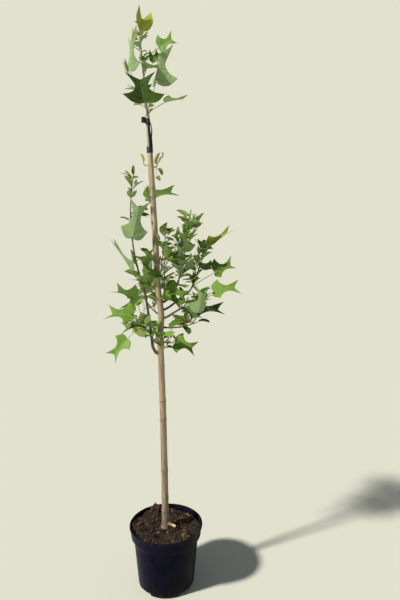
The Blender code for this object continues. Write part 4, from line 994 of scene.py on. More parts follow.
SHOOTS = (
    Shoot("leader_leaves", "trunk", TRUNK_TOP, 180, 85, 0.262, 0.0034, 0.0012, 2, 0.070, 50, bow=2,
          lowest=0.3, sector=180, shown=(
        Leaf(0.04, 258, 44, 0.040, 80, 0.094, -94, -54, 12, 16, 1.13),
        Leaf(0.03, 30, 74, 0.110, 78, 0.110, -30, -126, 30, 40),
        Leaf(0.04, 2, 36, 0.069, 14, 0.074, 0, 20, 14, 30, 0.8),
        Leaf(0.10, 188, 67, 0.138, 98, 0.114, 48, 0, 14, 30, 0.42),
        Leaf(0.34, 184, 46, 0.082, 74, 0.040, 10, 60, 20, 50, 0.5),
        Leaf(0.76, 162, 44, 0.052, 100, 0.056, 22, 40, 10, 40, 0.6),
        Leaf(0.87, 330, 50, 0.006, 54, 0.038, 20, 50, 10, 60, 0.5),
        Leaf(0.99, 60, 60, 0.006, 76, 0.072, 0, 66, 6, 36),
        Leaf(0.25, 112, 50, 0.045, 40, 0.090, 0, 0, 40, 24, 0.8),
        Leaf(0.62, 56, 47, 0.121, 27, 0.060, -68, 84, 8, 10, 0.95),
        Leaf(0.55, 28, 46, 0.050, 88, 0.040, 70, 0, 4, 20, 0.8),
        Leaf(0.60, 200, 66, 0.030, -20, 0.032, 160, 40, 20, 30, 0.7),
        Leaf(0.65, 240, 50, 0.018, 80, 0.038, 120, 0, 130, 30, 0.4),
    )),
    Shoot("right_tuft", "trunk", 1.412, 340, 60, 0.012, 0.0016, 0.0012, 0, 0.03, 40, shown=(
        Leaf(0.95, 10, 78, 0.006, 80, 0.042, 0, 30, 20, 40, 0.7),
        Leaf(0.70, 350, -50, 0.010, -54, 0.026, 0, 40, 20, 40),
        Leaf(0.50, 310, -76, 0.034, -40, 0.022, 0, 40, 20, 40),
    )),
    Shoot("left_tuft", "trunk", 1.418, 190, 78, 0.013, 0.0014, 0.0010, 0, 0.03, 40, shown=(
        Leaf(0.95, 190, 60, 0.008, 84, 0.030, 20, 0, 40, 40, 0.7),
    )),
    Shoot("upper_back_leaf", "trunk", 1.286, 110, 42, 0.042, 0.0018, 0.0014, 0, 0.03, 40, shown=(
        Leaf(0.98, 130, 34, 0.032, 18, 0.110, -124, 40, 20, 16, 0.74),
    )),
    Shoot("left_tall_leaves", "left_bough", 0, 184, 85, 0.385, 0.0032, 0.0012, 2, 0.05, 55, bow=30,
          lowest=0.5, shown=(
        Leaf(0.02, 204, 58, 0.085, 60, 0.114, 2, 0, 15, 30, 0.42),
        Leaf(0.14, 152, 40, 0.021, 30, 0.054, 13, -20, 30, 24, 0.9),
        Leaf(0.27, 190, 40, 0.013, 80, 0.048, 0, 70, 10, 50, 0.5),
        Leaf(0.44, 275, 50, 0.028, 76, 0.122, 65, -66, 18, 14, 0.56),
        Leaf(0.62, 172, 45, 0.012, 25, 0.030, 0, 0, 30, 30),
        Leaf(0.66, 14, 20, 0.030, -5, 0.036, 0, 30, 40, 20),
        Leaf(0.80, 290, 40, 0.010, 35, 0.036, 0, 0, 20, 30),
        Leaf(0.87, 12, 52, 0.020, 42, 0.034, 0, 0, 30, 60, 0.4),
        Leaf(0.90, 240, 50, 0.008, 40, 0.038, 0, 0, 20, 40, 0.8),
        Leaf(0.94, 180, 46, 0.010, 66, 0.036, 0, 30, 20, 45, 0.7),
        Leaf(0.99, 90, 70, 0.006, 80, 0.033, 0, 0, 10, 45, 0.6),
    )),
    Shoot("left_low_leaves", "left_low_bough", 0, 182, 24, 0.050, 0.0024, 0.0014, 2, 0.05, 20, shown=(
        Leaf(0.30, 192, 75, 0.102, 26, 0.072, -8, -34, 24, 30),
        Leaf(0.60, 178, 60, 0.034, 8, 0.088, 0, -48, 24, 30, 0.85),
        Leaf(0.10, 80, 14, 0.046, -8, 0.096, 100, -30, 30, 16, 0.85),
        Leaf(0.40, 192, -40, 0.062, -48, 0.084, 0, -58, 16, 16, 0.66),
        Leaf(0.30, 96, 68, 0.090, -20, 0.044, 60, -40, 20, 16),
    )),
    Shoot("left_inner_leaves", "trunk", 0.838, 222, 62, 0.060, 0.0022, 0.0012, 6, 0.048, 35, first=200),
    Shoot("left_mid_leaves", "trunk", 0.995, 205, 84, 0.150, 0.0022, 0.0010, 6, 0.050, 55, first=150,
          fold=36),
    Shoot("middle_leaves", "trunk", 0.985, 318, 88, 0.210, 0.0026, 0.0012, 6, 0.052, 55, first=30, fold=30,
          shown=(
        Leaf(0.02, 335, 40, 0.022, -28, 0.076, 0, 40, 20, 28, 0.7),
        Leaf(0.14, 345, 52, 0.026, -16, 0.068, 0, 44, 24, 20, 0.8),
        Leaf(0.99, 176, 40, 0.016, 46, 0.042, -166, 60, 20, 10, 0.9),
    )),
    Shoot("right_high_leaves", "right_high_bough", 0, 16, 78, 0.225, 0.0026, 0.0010, 12, 0.060, 66, bow=6,
          first=40, fold=36, sprigs=3, shown=(
        Leaf(0.20, 336, 54, 0.044, 40, 0.056, 10, -50, 20, 30, 0.6),
        Leaf(0.18, 316, 56, 0.040, 40, 0.050, -136, 50, 20, 30, 0.6),
        Leaf(0.42, 250, 40, 0.020, 74, 0.058, 30, 0, 20, 24, 0.62),
        Leaf(0.99, 10, 80, 0.004, 84, 0.050, 0, 30, 6, 50, 0.35),
        Leaf(0.92, 350, 18, 0.030, 80, 0.030, 0, 30, 10, 50, 0.5),
    )),
    Shoot("right_outer_leaves", "right_outer_bough", 0, 14, 70, 0.130, 0.0024, 0.0012, 6, 0.060, 45,
          first=100, shown=(
        Leaf(0.99, 10, 60, 0.036, 40, 0.104, 0, 50, 20, 50, 0.46),
        Leaf(0.10, 354, 36, 0.104, 26, 0.072, 0, 46, 10, 18),
    )),
    Shoot("right_mid_leaves", "right_mid_bough", 0, 346, 18, 0.070, 0.0028, 0.0014, 5, 0.075, 20, first=260,
          shown=(
        Leaf(0.95, 356, 36, 0.068, 14, 0.086, 0, 46, 24, 14, 0.75),
        Leaf(0.99, 280, -36, 0.046, 62, 0.092, 10, 0, 16, 42, 0.7),
    )),
    Shoot("right_low_leaves", "right_low_bough", 0, 0, 16, 0.055, 0.0022, 0.0012, 5, 0.060, 15, first=290,
          shown=(
        Leaf(0.50, 352, 62, 0.050, 14, 0.106, 0, 34, 30, 20, 0.7),
    )),
    Shoot("right_foot_leaves", "trunk", 0.838, 350, 2, 0.030, 0.0020, 0.0014, 0, 0.05, 10, shown=(
        Leaf(0.95, 352, 2, 0.010, -12, 0.074, 0, 48, 30, 16, 0.85),
        Leaf(0.40, 10, 66, 0.072, 14, 0.056, 0, 40, 20, 16),
    )),
    Shoot("front_low_leaves", "trunk", 0.818, 300, 46, 0.020, 0.0018, 0.0012, 2, 0.045, 20, first=250, shown=(
        Leaf(0.95, 264, 78, 0.034, 30, 0.054, 56, 50, 20, 26, 0.7),
    )),
    Shoot("back_leaves", "back_bough", 0, 96, 38, 0.110, 0.0026, 0.0012, 8, 0.088, 25, first=20),
    Shoot("back_high_leaves", "trunk", 1.040, 78, 66, 0.130, 0.0026, 0.0012, 7, 0.070, 45, first=60),
    Shoot("back_left_leaves", "trunk", 0.935, 142, 40, 0.110, 0.0026, 0.0012, 6, 0.080, 25, first=120),
)


def tube_shell(path, radii, sides=6):
    """The corners and faces of a plain open tube, for telling whether something touches a limb."""
    corners = []
    for i, point in enumerate(path):
        run = way_at(path, i)
        side = run.orthogonal().normalized()
        for k in range(sides):
            corners.append(point + radii[i] * (Matrix.Rotation(math.tau * k / sides, 3, run) @ side))
    return corners, tube_faces(len(path), sides, capped=False)


def blade_frame(leaf, joint):
    """How a blade is set: the direction across it, and its spine as points with headings and normals."""
    compass = leaf.compass + leaf.turn
    run = heading(compass, leaf.pitch)
    level = heading(compass - 90, 0)
    twist = Matrix.Rotation(math.radians(leaf.roll), 3, run)
    across, up = twist @ level, twist @ level.cross(run)
    spine, point = [], Vector(joint)
    for i in range(SPINE_STEPS + 1):
        bend = math.radians(leaf.droop) * (i / SPINE_STEPS) ** 1.6
        ahead, normal = run * math.cos(bend) - up * math.sin(bend), up * math.cos(bend) + run * math.sin(bend)
        spine.append((point.copy(), ahead, normal))
        point += ahead * (leaf.blade / SPINE_STEPS)
    return across, spine


def on_blade(leaf, frame, x, y, lift=0.0):
    """The place of a point of the blade: x across and y along in blade lengths, and lift above it."""
    across, spine = frame
    i = max(0, min(SPINE_STEPS, int(y * SPINE_STEPS)))
    point, ahead, normal = spine[i]
    fold = math.radians(leaf.fold)
    x *= leaf.blade * leaf.width
    reach = leaf.blade * (y - i / SPINE_STEPS)
    return point + ahead * reach + across * (x * math.cos(fold)) + normal * (abs(x) * math.sin(fold) + lift)


def outline_of(leaf):
    """The half outline of a leaf and the places on its midrib: young, cleft or lobed."""
    if leaf.blade < YOUNG_BLADE:
        return YOUNG_OUTLINE, YOUNG_MIDRIB
    if leaf.stalk < CLEFT_STALK:
        return CLEFT_OUTLINE, CLEFT_MIDRIB
    return OUTLINE, MIDRIB


def blade_shell(leaf, frame, margin=0.0):
    """The corners and faces of a blade: thick along its midrib and sharp at its edge."""
    outline, midrib = outline_of(leaf)
    half = max(LEAST_THICKNESS, leaf.blade * LEAF_THICKNESS) / 2 + margin
    grow = 1 + margin / leaf.blade
    corners = [on_blade(leaf, frame, 0, midrib[-1] * grow)]
    for y in midrib[:-1]:
        corners += [on_blade(leaf, frame, 0, y, half), on_blade(leaf, frame, 0, y, -half)]
    edge = {}
    for side in (-1, 1):
        edge[side] = range(len(corners), len(corners) + len(outline))
        corners += [on_blade(leaf, frame, side * x * grow, y * grow) for x, y in outline]
    faces = [(2, edge[1][0], 1), (1, edge[-1][0], 2)]
    for face in (0, 1):
        rib = [1 + 2 * i + face for i in range(len(midrib) - 1)] + [0]
        for side in (-1, 1):
            at = 0
            strip = []
            for i, corner in enumerate(edge[side]):
                while at < len(rib) - 2 and outline[i][1] > (midrib[at] + midrib[at + 1]) / 2:
                    strip.append((rib[at], corner, rib[at + 1]))
                    at += 1
                if i + 1 < len(outline):
                    strip.append((rib[at], corner, corner + 1))
            while at < len(rib) - 1:
                strip.append((rib[at], edge[side][-1], rib[at + 1]))
                at += 1
            faces += [tri if (side > 0) == (face == 0) else tri[::-1] for tri in strip]
    return corners, faces


def in_space(shoot, corners):
    """True if all the corners lie in the shoot's own sector round the trunk."""
    for corner in corners:
        off = corner - trunk_centre(min(corner.z, TRUNK_TOP))
        bearing = math.degrees(math.atan2(off.y, off.x))
        if abs((bearing - shoot.compass + 180) % 360 - 180) > shoot.sector:
            return False
    return True


def grown(shoot, count, blade, lowest, seed):
    """The leaves that the rule gives a stem: each a fixed turn on from the last, longest near the middle."""
    for i in range(count):
        share = lowest + (1 - lowest) * (i + 0.6) / count
        size = blade * (1.12 - 0.55 * abs(share - 0.45) / 0.55)
        for attempt in range(TRIES):
            draw = random.Random(f"{seed} {i} {attempt}")
            loose = 1 + attempt / 5
            yield i, Leaf(
                share=min(0.99, share + draw.uniform(-0.03, 0.03)),
                compass=shoot.first + LEAF_TURN * i + draw.uniform(-22, 22) * loose,
                rise=shoot.stance + draw.uniform(-10, 16),
                stalk=size * draw.uniform(0.35, 0.6),
                pitch=shoot.stance - 22 + draw.uniform(-18, 18) * loose,
                blade=size * draw.uniform(0.85, 1.12),
                turn=draw.uniform(-16, 16),
                roll=draw.uniform(-26, 26) * loose,
                droop=draw.uniform(18, 46),
                fold=shoot.fold * draw.uniform(0.6, 1.3),
                width=draw.uniform(0.74, 0.98),
            )


def nudged(leaf, number, seed):
    """A stated leaf as it is, and then turned a little more at each try."""
    yield number, leaf
    for attempt in range(1, TRIES):
        draw = random.Random(f"{seed} {number} {attempt}")
        yield number, leaf._replace(compass=leaf.compass + draw.uniform(-3, 3) * attempt,
                                    pitch=leaf.pitch + draw.uniform(-2, 2) * attempt,
                                    roll=leaf.roll + draw.uniform(-3, 3) * attempt)


class Growth:
    """Every limb and leaf that has been given a place, and what each would touch."""

    def __init__(self):
        self.taken = []     # (the mass or limb, its tree)
        self.placed = {}    # the mass: its leaves, as (leaf, foot, joint, frame)

    def add(self, owner, shell):
        """Takes up the room of a limb."""
        self.taken.append((owner, BVHTree.FromPolygons(*shell)))

    def leaves_of(self, shoot):
        """A shoot's leaves so far, numbered, each as (leaf, foot, joint, frame)."""
        return list(enumerate(self.placed.get(shoot.name, [])))

    def place(self, shoot, path, candidates, stated=False, boxed=False):
        """Gives the first candidate of each leaf that touches nothing, in its mass's own space, its place."""
        owner, done = shoot.name, set()
        for number, leaf in candidates:
            if number in done:
                continue
            foot = along(path, leaf.share)
            joint = foot + heading(leaf.compass, leaf.rise) * leaf.stalk
            frame = blade_frame(leaf, joint)
            sunk = on_blade(leaf, frame, 0, STALK_SUNK)
            shell = blade_shell(leaf, frame, CLEARANCE)
            blade = BVHTree.FromPolygons(*shell)
            stalk = BVHTree.FromPolygons(*tube_shell([foot, sunk], [STALK_RADIUS + CLEARANCE] * 2))
            clash = any(tree.overlap(blade) or (other != owner and tree.overlap(stalk))
                        for other, tree in self.taken)
            if clash or not (stated or in_space(shoot, [joint, *shell[0]])):
                continue
            if boxed and not in_box(owner, shell[0]):
                continue
            self.taken += [(owner, blade), (owner, stalk)]
            self.placed.setdefault(owner, []).append((leaf, foot, joint, frame))
            done.add(number)


def sprig_of(shoot, stem, number):
    """A side twig of a shoot, part of the way up its stem."""
    share = 0.25 + 0.6 * (number + 0.5) / shoot.sprigs
    draw = random.Random(f"{shoot.name} sprig {number}")
    limb = Bough("sprig", 0, shoot.first + 70 + 130 * number, 58 + draw.uniform(-8, 8),
                 shoot.length * draw.uniform(0.24, 0.34), shoot.tip * 1.25, shoot.tip * 0.8, bow=16)
    return limb_path(along(stem, share), (limb.compass, limb.rise - 20), limb)


def grow_crown():
    """The growth with its leaves in place, and the paths of the stems and sprigs."""
    growth = Growth()
    stems = {shoot.name: rooted_path(shoot, boughs) for shoot in SHOOTS}
    sprigs = {shoot.name: [sprig_of(shoot, stems[shoot.name][0], n) for n in range(shoot.sprigs)]
              for shoot in SHOOTS}
    for name, (path, radii) in [("trunk", trunk_path()), *boughs.items(), *stems.items()]:
        growth.add(name, tube_shell(path, radii))
    for shoot in SHOOTS:
        for path, radii in sprigs[shoot.name]:
            growth.add(shoot.name, tube_shell(path, radii))
    for shoot in SHOOTS:
        for number, leaf in enumerate(shoot.shown):
            growth.place(shoot, stems[shoot.name][0], nudged(leaf, number, shoot.name), stated=True)
    for shoot in SHOOTS:
        growth.place(shoot, stems[shoot.name][0],
                     grown(shoot, shoot.leaves, shoot.blade, shoot.lowest, shoot.name))
        for number, (path, radii) in enumerate(sprigs[shoot.name]):
            growth.place(shoot, path, grown(shoot, SPRIG_LEAVES, shoot.blade * 0.8, 0.4,
                                            f"{shoot.name} sprig {number}"))
    return growth, stems, sprigs


# The axils then carry the short side sprigs and small leaves that the CAD leaves out, each tried in turn
# and kept only where it is clear of the rest and within its own mass's box.
FINE_SPRIG, FINE_BLADE, FINE_LEAVES = (0.014, 0.040), (0.012, 0.030), 3
FINE_TRIES, FINE_CLEARANCE, BARE_AXILS = 4, 0.0006, 0.25
AXIL_BLADE = 0.034          # leaves shorter than this have a bare axil
SPARSE_LEAVES, FULL_SWELL, SPARSE_SWELL = 2, 1.5, 0.85     # a shoot with more leaves than the first is full
BOX_SLACK = 0.003


def in_box(name, corners):
    """True if all the corners lie in a mass's own box, give or take a little."""
    low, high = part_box(name)
    return all(low[k] - BOX_SLACK < corner[k] < high[k] + BOX_SLACK for corner in corners for k in range(3))


def grow_finer(growth, shoot, stem):
    """Short sprigs from a shoot's axils, each with its path, radii and small leaves."""
    made = []
    for number, (leaf, foot, joint, frame_of_leaf) in growth.leaves_of(shoot):
        for attempt in range(FINE_TRIES):
            seed = f"{shoot.name} axil {number} {attempt}"
            draw = random.Random(seed)
            if leaf.blade < AXIL_BLADE or draw.random() < BARE_AXILS:
                continue
            limb = Bough("axil", 0, leaf.compass + draw.uniform(-50, 50), draw.uniform(35, 80),
                         draw.uniform(*FINE_SPRIG), shoot.tip * 0.9, shoot.tip * 0.6, bow=20)
            path, radii = limb_path(foot, (leaf.compass, (leaf.rise + 70) / 2), limb)
            around = tube_shell(path[1:], [radius + FINE_CLEARANCE for radius in radii[1:]])
            shell = BVHTree.FromPolygons(*around)
            if not in_box(shoot.name, path) or any(tree.overlap(shell) for owner, tree in growth.taken
                                                   if owner != shoot.name):
                continue
            before = len(growth.placed[shoot.name])
            growth.place(shoot, path, fine_leaves(shoot, limb, seed), boxed=True)
            if len(growth.placed[shoot.name]) > before:
                growth.add(shoot.name, tube_shell(path, radii))
                made.append((path, radii))
                break
    return made


def fine_leaves(shoot, limb, seed):
    """The small leaves of a fine sprig, from its lowest to its tip."""
    swell = FULL_SWELL if shoot.leaves > SPARSE_LEAVES else SPARSE_SWELL
    for i in range(FINE_LEAVES):
        for attempt in range(6):
            draw = random.Random(f"{seed} leaf {i} {attempt}")
            size = draw.uniform(*FINE_BLADE) * (1.25 - 0.25 * i) * swell
            yield i, Leaf(share=0.45 + 0.27 * i, compass=limb.compass + 137 * i + draw.uniform(-40, 40),
                          rise=draw.uniform(25, 75), stalk=size * draw.uniform(0.3, 0.6),
                          pitch=draw.uniform(5, 70), blade=size, turn=draw.uniform(-20, 20),
                          roll=draw.uniform(-40, 40), droop=draw.uniform(10, 50), fold=draw.uniform(20, 60),
                          width=draw.uniform(0.6, 0.95))


growth, stems, sprigs = grow_crown()
finer = {shoot.name: grow_finer(growth, shoot, stems[shoot.name]) for shoot in SHOOTS}

# --------------------------------------------------------------------------------- The shoots and sprigs
# This year's wood: smooth, round and still partly green, swollen at each leaf's foot, and ending in a
# flattened bud. The side sprigs are finer and greener.

SHOOT_SIDES, SHOOT_STEP = 16, 0.0016
SPRIG_SIDES, SPRIG_STEP = 8, 0.0024
NODE_SWELL, NODE_SPAN = 0.32, 0.0022
GREEN_SHOOTS = ("leader_leaves", "right_tuft", "left_tuft", "right_high_leaves", "middle_leaves",
                "left_mid_leaves", "front_low_leaves", "back_high_leaves")

green_wood = bark_finish("green_shoot_bark", (0.215, 0.255, 0.090), (0.120, 0.130, 0.045), (0.36, 0.36, 0.20),
                         (0.20, 0.155, 0.075), 0.5, 0.5)
brown_wood = bark_finish("brown_shoot_bark", (0.155, 0.105, 0.058), (0.062, 0.038, 0.024), (0.32, 0.25, 0.15),
                         (0.130, 0.135, 0.060), 0.6, 0.5)


def noded(path, radii, feet):
    """A shoot's radii, swollen at each leaf's foot."""
    return [radius * (1 + NODE_SWELL * sum(math.exp(-((point - foot).length / NODE_SPAN) ** 2)
                                           for foot in feet)) for point, radius in zip(path, radii)]


shoots = Pile()
for number, shoot in enumerate(SHOOTS):
    feet = [foot for i, (leaf, foot, joint, frame_of_leaf) in growth.leaves_of(shoot)]
    path, radii = smoothed(*stems[shoot.name], SHOOT_STEP, LET_IN)
    radii = noded(path, radii, feet)
    barked = rings_along(path, radii, SHOOT_SIDES, bark_shape(path, radii, 50.0 + number, 0.22, 0.5))
    shoots.lay(*barked, tone=0 if shoot.name in GREEN_SHOOTS else 1)
    for path, radii in sprigs[shoot.name] + finer[shoot.name]:
        path, radii = smoothed(path, radii, SPRIG_STEP)
        shoots.lay(*rings_along(path, noded(path, radii, feet), SPRIG_SIDES))
shoots.made("crown_shoots", (green_wood, brown_wood), 60, "twig_bark")

# ----------------------------------------------------------------------------------- Stalks and leaf ribs
# Each leaf hangs on a long slender stalk, thickened where it clasps the shoot, that runs on beneath the
# blade as a pale midrib and sends a raised rib out to each lobe.

STALK_THICK, STALK_SWELL, STALK_CLASP, STALK_STEPS, STALK_SIDES = 0.00115, 0.7, 0.004, 14, 8
RED_STALKS = 0.3            # the share of the stalks that are flushed red
MIDRIB_STEPS = 10
RIB_RADIUS, RIB_LEAST, RIB_SIDES = 0.0062, 0.00018, 4       # the first in blade lengths
BLADE_THICK, BLADE_LEAST = 0.0045, 0.00035                  # likewise
RIBS = {                    # the side ribs of each blade, as points across and along in blade lengths
    "lobed": (((0, 0.01), (0.22, -0.010), (0.42, 0.035)), ((0, 0.04), (0.32, 0.105), (0.60, 0.222)),
              ((0, 0.20), (0.18, 0.275), (0.33, 0.370)), ((0, 0.36), (0.11, 0.425), (0.195, 0.510)),
              ((0, 0.48), (0.19, 0.670), (0.440, 0.955)), ((0, 0.64), (0.11, 0.750), (0.23, 0.880))),
    "cleft": (((0, 0.06), (0.20, 0.090), (0.40, 0.200)), ((0, 0.22), (0.22, 0.310), (0.45, 0.440)),
              ((0, 0.40), (0.22, 0.540), (0.42, 0.730)), ((0, 0.52), (0.17, 0.690), (0.35, 0.900))),
    "young": (((0, 0.06), (0.18, 0.080), (0.33, 0.150)), ((0, 0.24), (0.20, 0.305), (0.375, 0.410)),
              ((0, 0.44), (0.17, 0.540), (0.30, 0.680)), ((0, 0.64), (0.12, 0.730), (0.22, 0.810))),
}

stalk_green = mottled("stalk_green", (0.30, 0.36, 0.13), 0.45, (60,), (0.3, (0.24, 0.30, 0.09)),
                      (0.75, (0.36, 0.38, 0.17)))[0]
stalk_red = mottled("stalk_red", (0.24, 0.15, 0.08), 0.45, (50,), (0.3, (0.20, 0.10, 0.055)),
                    (0.75, (0.28, 0.24, 0.10)))[0]
rib_pale = mottled("rib_pale", (0.33, 0.41, 0.22), 0.5, (90,), (0.3, (0.27, 0.35, 0.17)),
                   (0.75, (0.38, 0.46, 0.26)))[0]


def set_on(leaf, frame_of_leaf, x, y, lift=0.0):
    """A point of a leaf as made: the plain blade's with its fold eased, edge waved and lobes hung."""
    across, spine = frame_of_leaf
    i = max(0, min(SPINE_STEPS, int(y * SPINE_STEPS)))
    share = y * SPINE_STEPS - i
    point, ahead, normal = spine[i]
    if i < SPINE_STEPS:
        ahead, normal = ahead.lerp(spine[i + 1][1], share), normal.lerp(spine[i + 1][2], share)
    fold = math.radians(leaf.fold)
    draw = random.Random(f"wave {leaf.blade:.5f} {leaf.compass:.3f}")
    wave, beat = draw.uniform(0.010, 0.026), draw.uniform(5, 10)
    start, hang = draw.uniform(0, 6), draw.uniform(0.02, 0.16)
    reach = abs(x) * leaf.width
    eased = math.sqrt(reach * reach + 0.0016) - 0.04
    ripple = wave * math.sin(beat * y + start + (1.3 if x > 0 else 0)) * min(1, (reach / 0.35) ** 2)
    hung = hang * max(0, reach - 0.16) ** 2 * 1.6
    rise = leaf.blade * (eased * math.sin(fold) + ripple - hung) + lift
    x *= leaf.blade * leaf.width
    return point + ahead * (leaf.blade * share / SPINE_STEPS) + across * (x * math.cos(fold)) + normal * rise


def shape_of(leaf):
    """Which of the three blades a leaf has: the topmost and some of the small ones are cleft, not lobed."""
    if leaf.blade >= YOUNG_BLADE:
        return "cleft" if leaf.stalk < CLEFT_STALK else "lobed"
    return "cleft" if random.Random(f"shape {leaf.compass:.3f}").random() < 0.3 else "young"


def thick_of(leaf):
    """How thick a leaf's blade is."""
    return max(BLADE_LEAST, leaf.blade * BLADE_THICK)


def curved(start, leave, arrive, end, steps):
    """A smooth run between two points that leaves and arrives along two directions."""
    line = []
    for k in range(steps + 1):
        t = k / steps
        line.append(start * (2 * t ** 3 - 3 * t * t + 1) + leave * (t ** 3 - 2 * t * t + t)
                    + end * (3 * t * t - 2 * t ** 3) + arrive * (t ** 3 - t * t))
    return line


stalks, ribs = Pile(), Pile()
for shoot in SHOOTS:
    for number, (leaf, foot, joint, frame_of_leaf) in growth.leaves_of(shoot):
        draw = random.Random(f"stalk {shoot.name} {number}")
        slight = min(1.0, 0.35 + leaf.blade / 0.10)
        long = (joint - foot).length
        run = frame_of_leaf[1][0][1]
        way = (joint - foot).normalized() if long > 1e-4 else run
        path = curved(foot, (way * 0.85 + Vector((0, 0, 0.35))) * long, (way * 0.75 + run * 0.4) * long,
                      set_on(leaf, frame_of_leaf, 0, 0.02, -thick_of(leaf)), STALK_STEPS)
        radii = [STALK_THICK * slight * (1 + STALK_SWELL * math.exp(-(path[0] - point).length / STALK_CLASP))
                 for point in path]
        rib = [set_on(leaf, frame_of_leaf, 0, 0.06 + 0.075 * k, -thick_of(leaf) * 0.8)
               for k in range(MIDRIB_STEPS + 1)]
        ribbed = [max(RIB_LEAST, leaf.blade * RIB_RADIUS * (1.5 - 1.35 * k / MIDRIB_STEPS))
                  for k in range(MIDRIB_STEPS + 1)]
        stalk = rings_along(path + rib, radii + ribbed, STALK_SIDES)
        stalks.lay(*stalk, tone=int(draw.random() < RED_STALKS))
        for side in (-1, 1):
            for line in RIBS[shape_of(leaf)]:
                flat = bent([Vector(point) for point in line], 3)
                path = [set_on(leaf, frame_of_leaf, side * p.x, p.y, -thick_of(leaf) * 0.7) for p in flat]
                radii = [leaf.blade * RIB_RADIUS * (0.62 - 0.45 * k / (len(path) - 1))
                         for k in range(len(path))]
                ribs.lay(*rings_along(path, radii, RIB_SIDES))
stalks.made("leaf_stalks", (stalk_green, stalk_red), 60, "leaf_green")
ribs.made("leaf_ribs", (rib_pale,), 60, "leaf_green")

# -------------------------------------------------------------------------------------------- The leaves
# Tulip-tree leaves: a broad satin blade with two pointed lobes on each side and a cut-off, notched tip,
# sunken ribs above and a chalky grey-green underside. The youngest are still folded and barely lobed.

EDGES = {                   # half of each blade's edge, stalk to notch, as runs that meet at the lobes' tips
    "lobed": (
        ((0, 0.012), (0.07, -0.016), (0.18, -0.040), (0.31, -0.034), (0.43, 0.008), (0.525, 0.078),
         (0.605, 0.155), (0.690, 0.238)),
        ((0.690, 0.238), (0.575, 0.262), (0.460, 0.298), (0.352, 0.352), (0.268, 0.428), (0.222, 0.520),
         (0.226, 0.615), (0.275, 0.725), (0.352, 0.840), (0.495, 1.015)),
        ((0.495, 1.015), (0.365, 0.950), (0.235, 0.895), (0.110, 0.850), (0, 0.815))),
    "young": (
        ((0, 0.0), (0.15, 0.002), (0.29, 0.050), (0.380, 0.155), (0.420, 0.290), (0.410, 0.410),
         (0.365, 0.530), (0.325, 0.640), (0.298, 0.730), (0.275, 0.800)),
        ((0.275, 0.800), (0.17, 0.870), (0.08, 0.930), (0, 0.962))),
    "cleft": (
        ((0, 0.0), (0.10, 0.0), (0.20, 0.012), (0.31, 0.055), (0.40, 0.130), (0.46, 0.230),
         (0.495, 0.350), (0.505, 0.480), (0.485, 0.620), (0.450, 0.760), (0.425, 0.880), (0.400, 1.0)),
        ((0.400, 1.0), (0.325, 0.910), (0.250, 0.825), (0.170, 0.735), (0.090, 0.650), (0, 0.590))),
}
PATTERNS = {"lobed": 7, "young": 3, "cleft": 3}
CELL_STEP, CELL_ROW = 0.060, 0.866      # between the corners inside a blade, in blade lengths, and its rows
RIB_SUNK, RIB_STOOD, RIB_PALER = 0.0060, 0.0030, (0.08, 0.11, 0.015)
# The last tone is painted light: a brighter yellow-green for leaves that face away from the lamp, standing in
# for sun shining through them.
LEAF_TONES = (("leaf_fresh", (0.135, 0.275, 0.020)), ("leaf_mid", (0.082, 0.175, 0.012)),
              ("leaf_deep", (0.044, 0.096, 0.006)), ("leaf_olive", (0.150, 0.178, 0.012)),
              ("leaf_young", (0.250, 0.320, 0.075)), ("leaf_gold", (0.36, 0.46, 0.030)))
UNDERSIDES = (              # name, tone, tone of the ribs, depth of the net, roughness and shine
    ("leaf_underside", (0.235, 0.355, 0.135), (0.31, 0.42, 0.23), 0.22, 0.66, 0.25),
    ("young_underside", (0.250, 0.300, 0.045), (0.33, 0.36, 0.14), 0.20, 0.6, 0.3),
    ("inner_underside", (0.185, 0.320, 0.065), (0.28, 0.40, 0.16), 0.20, 0.6, 0.3))
FRESH, MID, DEEP, OLIVE, YOUNG, PAINTED_GLOW = range(6)
LEAF_DEAL = (FRESH, FRESH, FRESH, MID, MID, MID, DEEP, YOUNG)
SMALL_DEAL, SMALL_BLADE = (YOUNG, YOUNG, YOUNG, FRESH), 0.030
# The brightest yellow-green, on the topmost leader leaf and the outer right leaf, is painted light.
STATED_TONES = {
    "leader_leaves": (DEEP, MID, DEEP, MID, MID, YOUNG, YOUNG, PAINTED_GLOW, MID, FRESH, MID, FRESH, OLIVE),
    "right_tuft": (OLIVE, OLIVE, OLIVE),
    "left_tuft": (YOUNG,),
    "upper_back_leaf": (MID,),
    "left_tall_leaves": (MID, MID, MID, MID, YOUNG, MID, FRESH, YOUNG, YOUNG, FRESH, OLIVE),
    "left_low_leaves": (MID, FRESH, MID, FRESH, FRESH),
    "middle_leaves": (MID, FRESH, DEEP),
    "right_high_leaves": (MID, MID, MID, YOUNG, YOUNG),
    "right_outer_leaves": (PAINTED_GLOW, MID),
    "right_mid_leaves": (FRESH, MID),
    "right_low_leaves": (DEEP,),
    "right_foot_leaves": (FRESH, OLIVE),
    "front_low_leaves": (FRESH,),
}


def stated_tones(shoot):
    """The tones of a shoot's stated leaves, by their number among the leaves that have a place."""
    tones = {}
    for leaf, tone in zip(shoot.shown, STATED_TONES.get(shoot.name, ())):
        for number, (other, foot, joint, frame_of_leaf) in growth.leaves_of(shoot):
            if (leaf.share, leaf.stalk, leaf.blade) == (other.share, other.stalk, other.blade):
                tones[number] = tone
    return tones


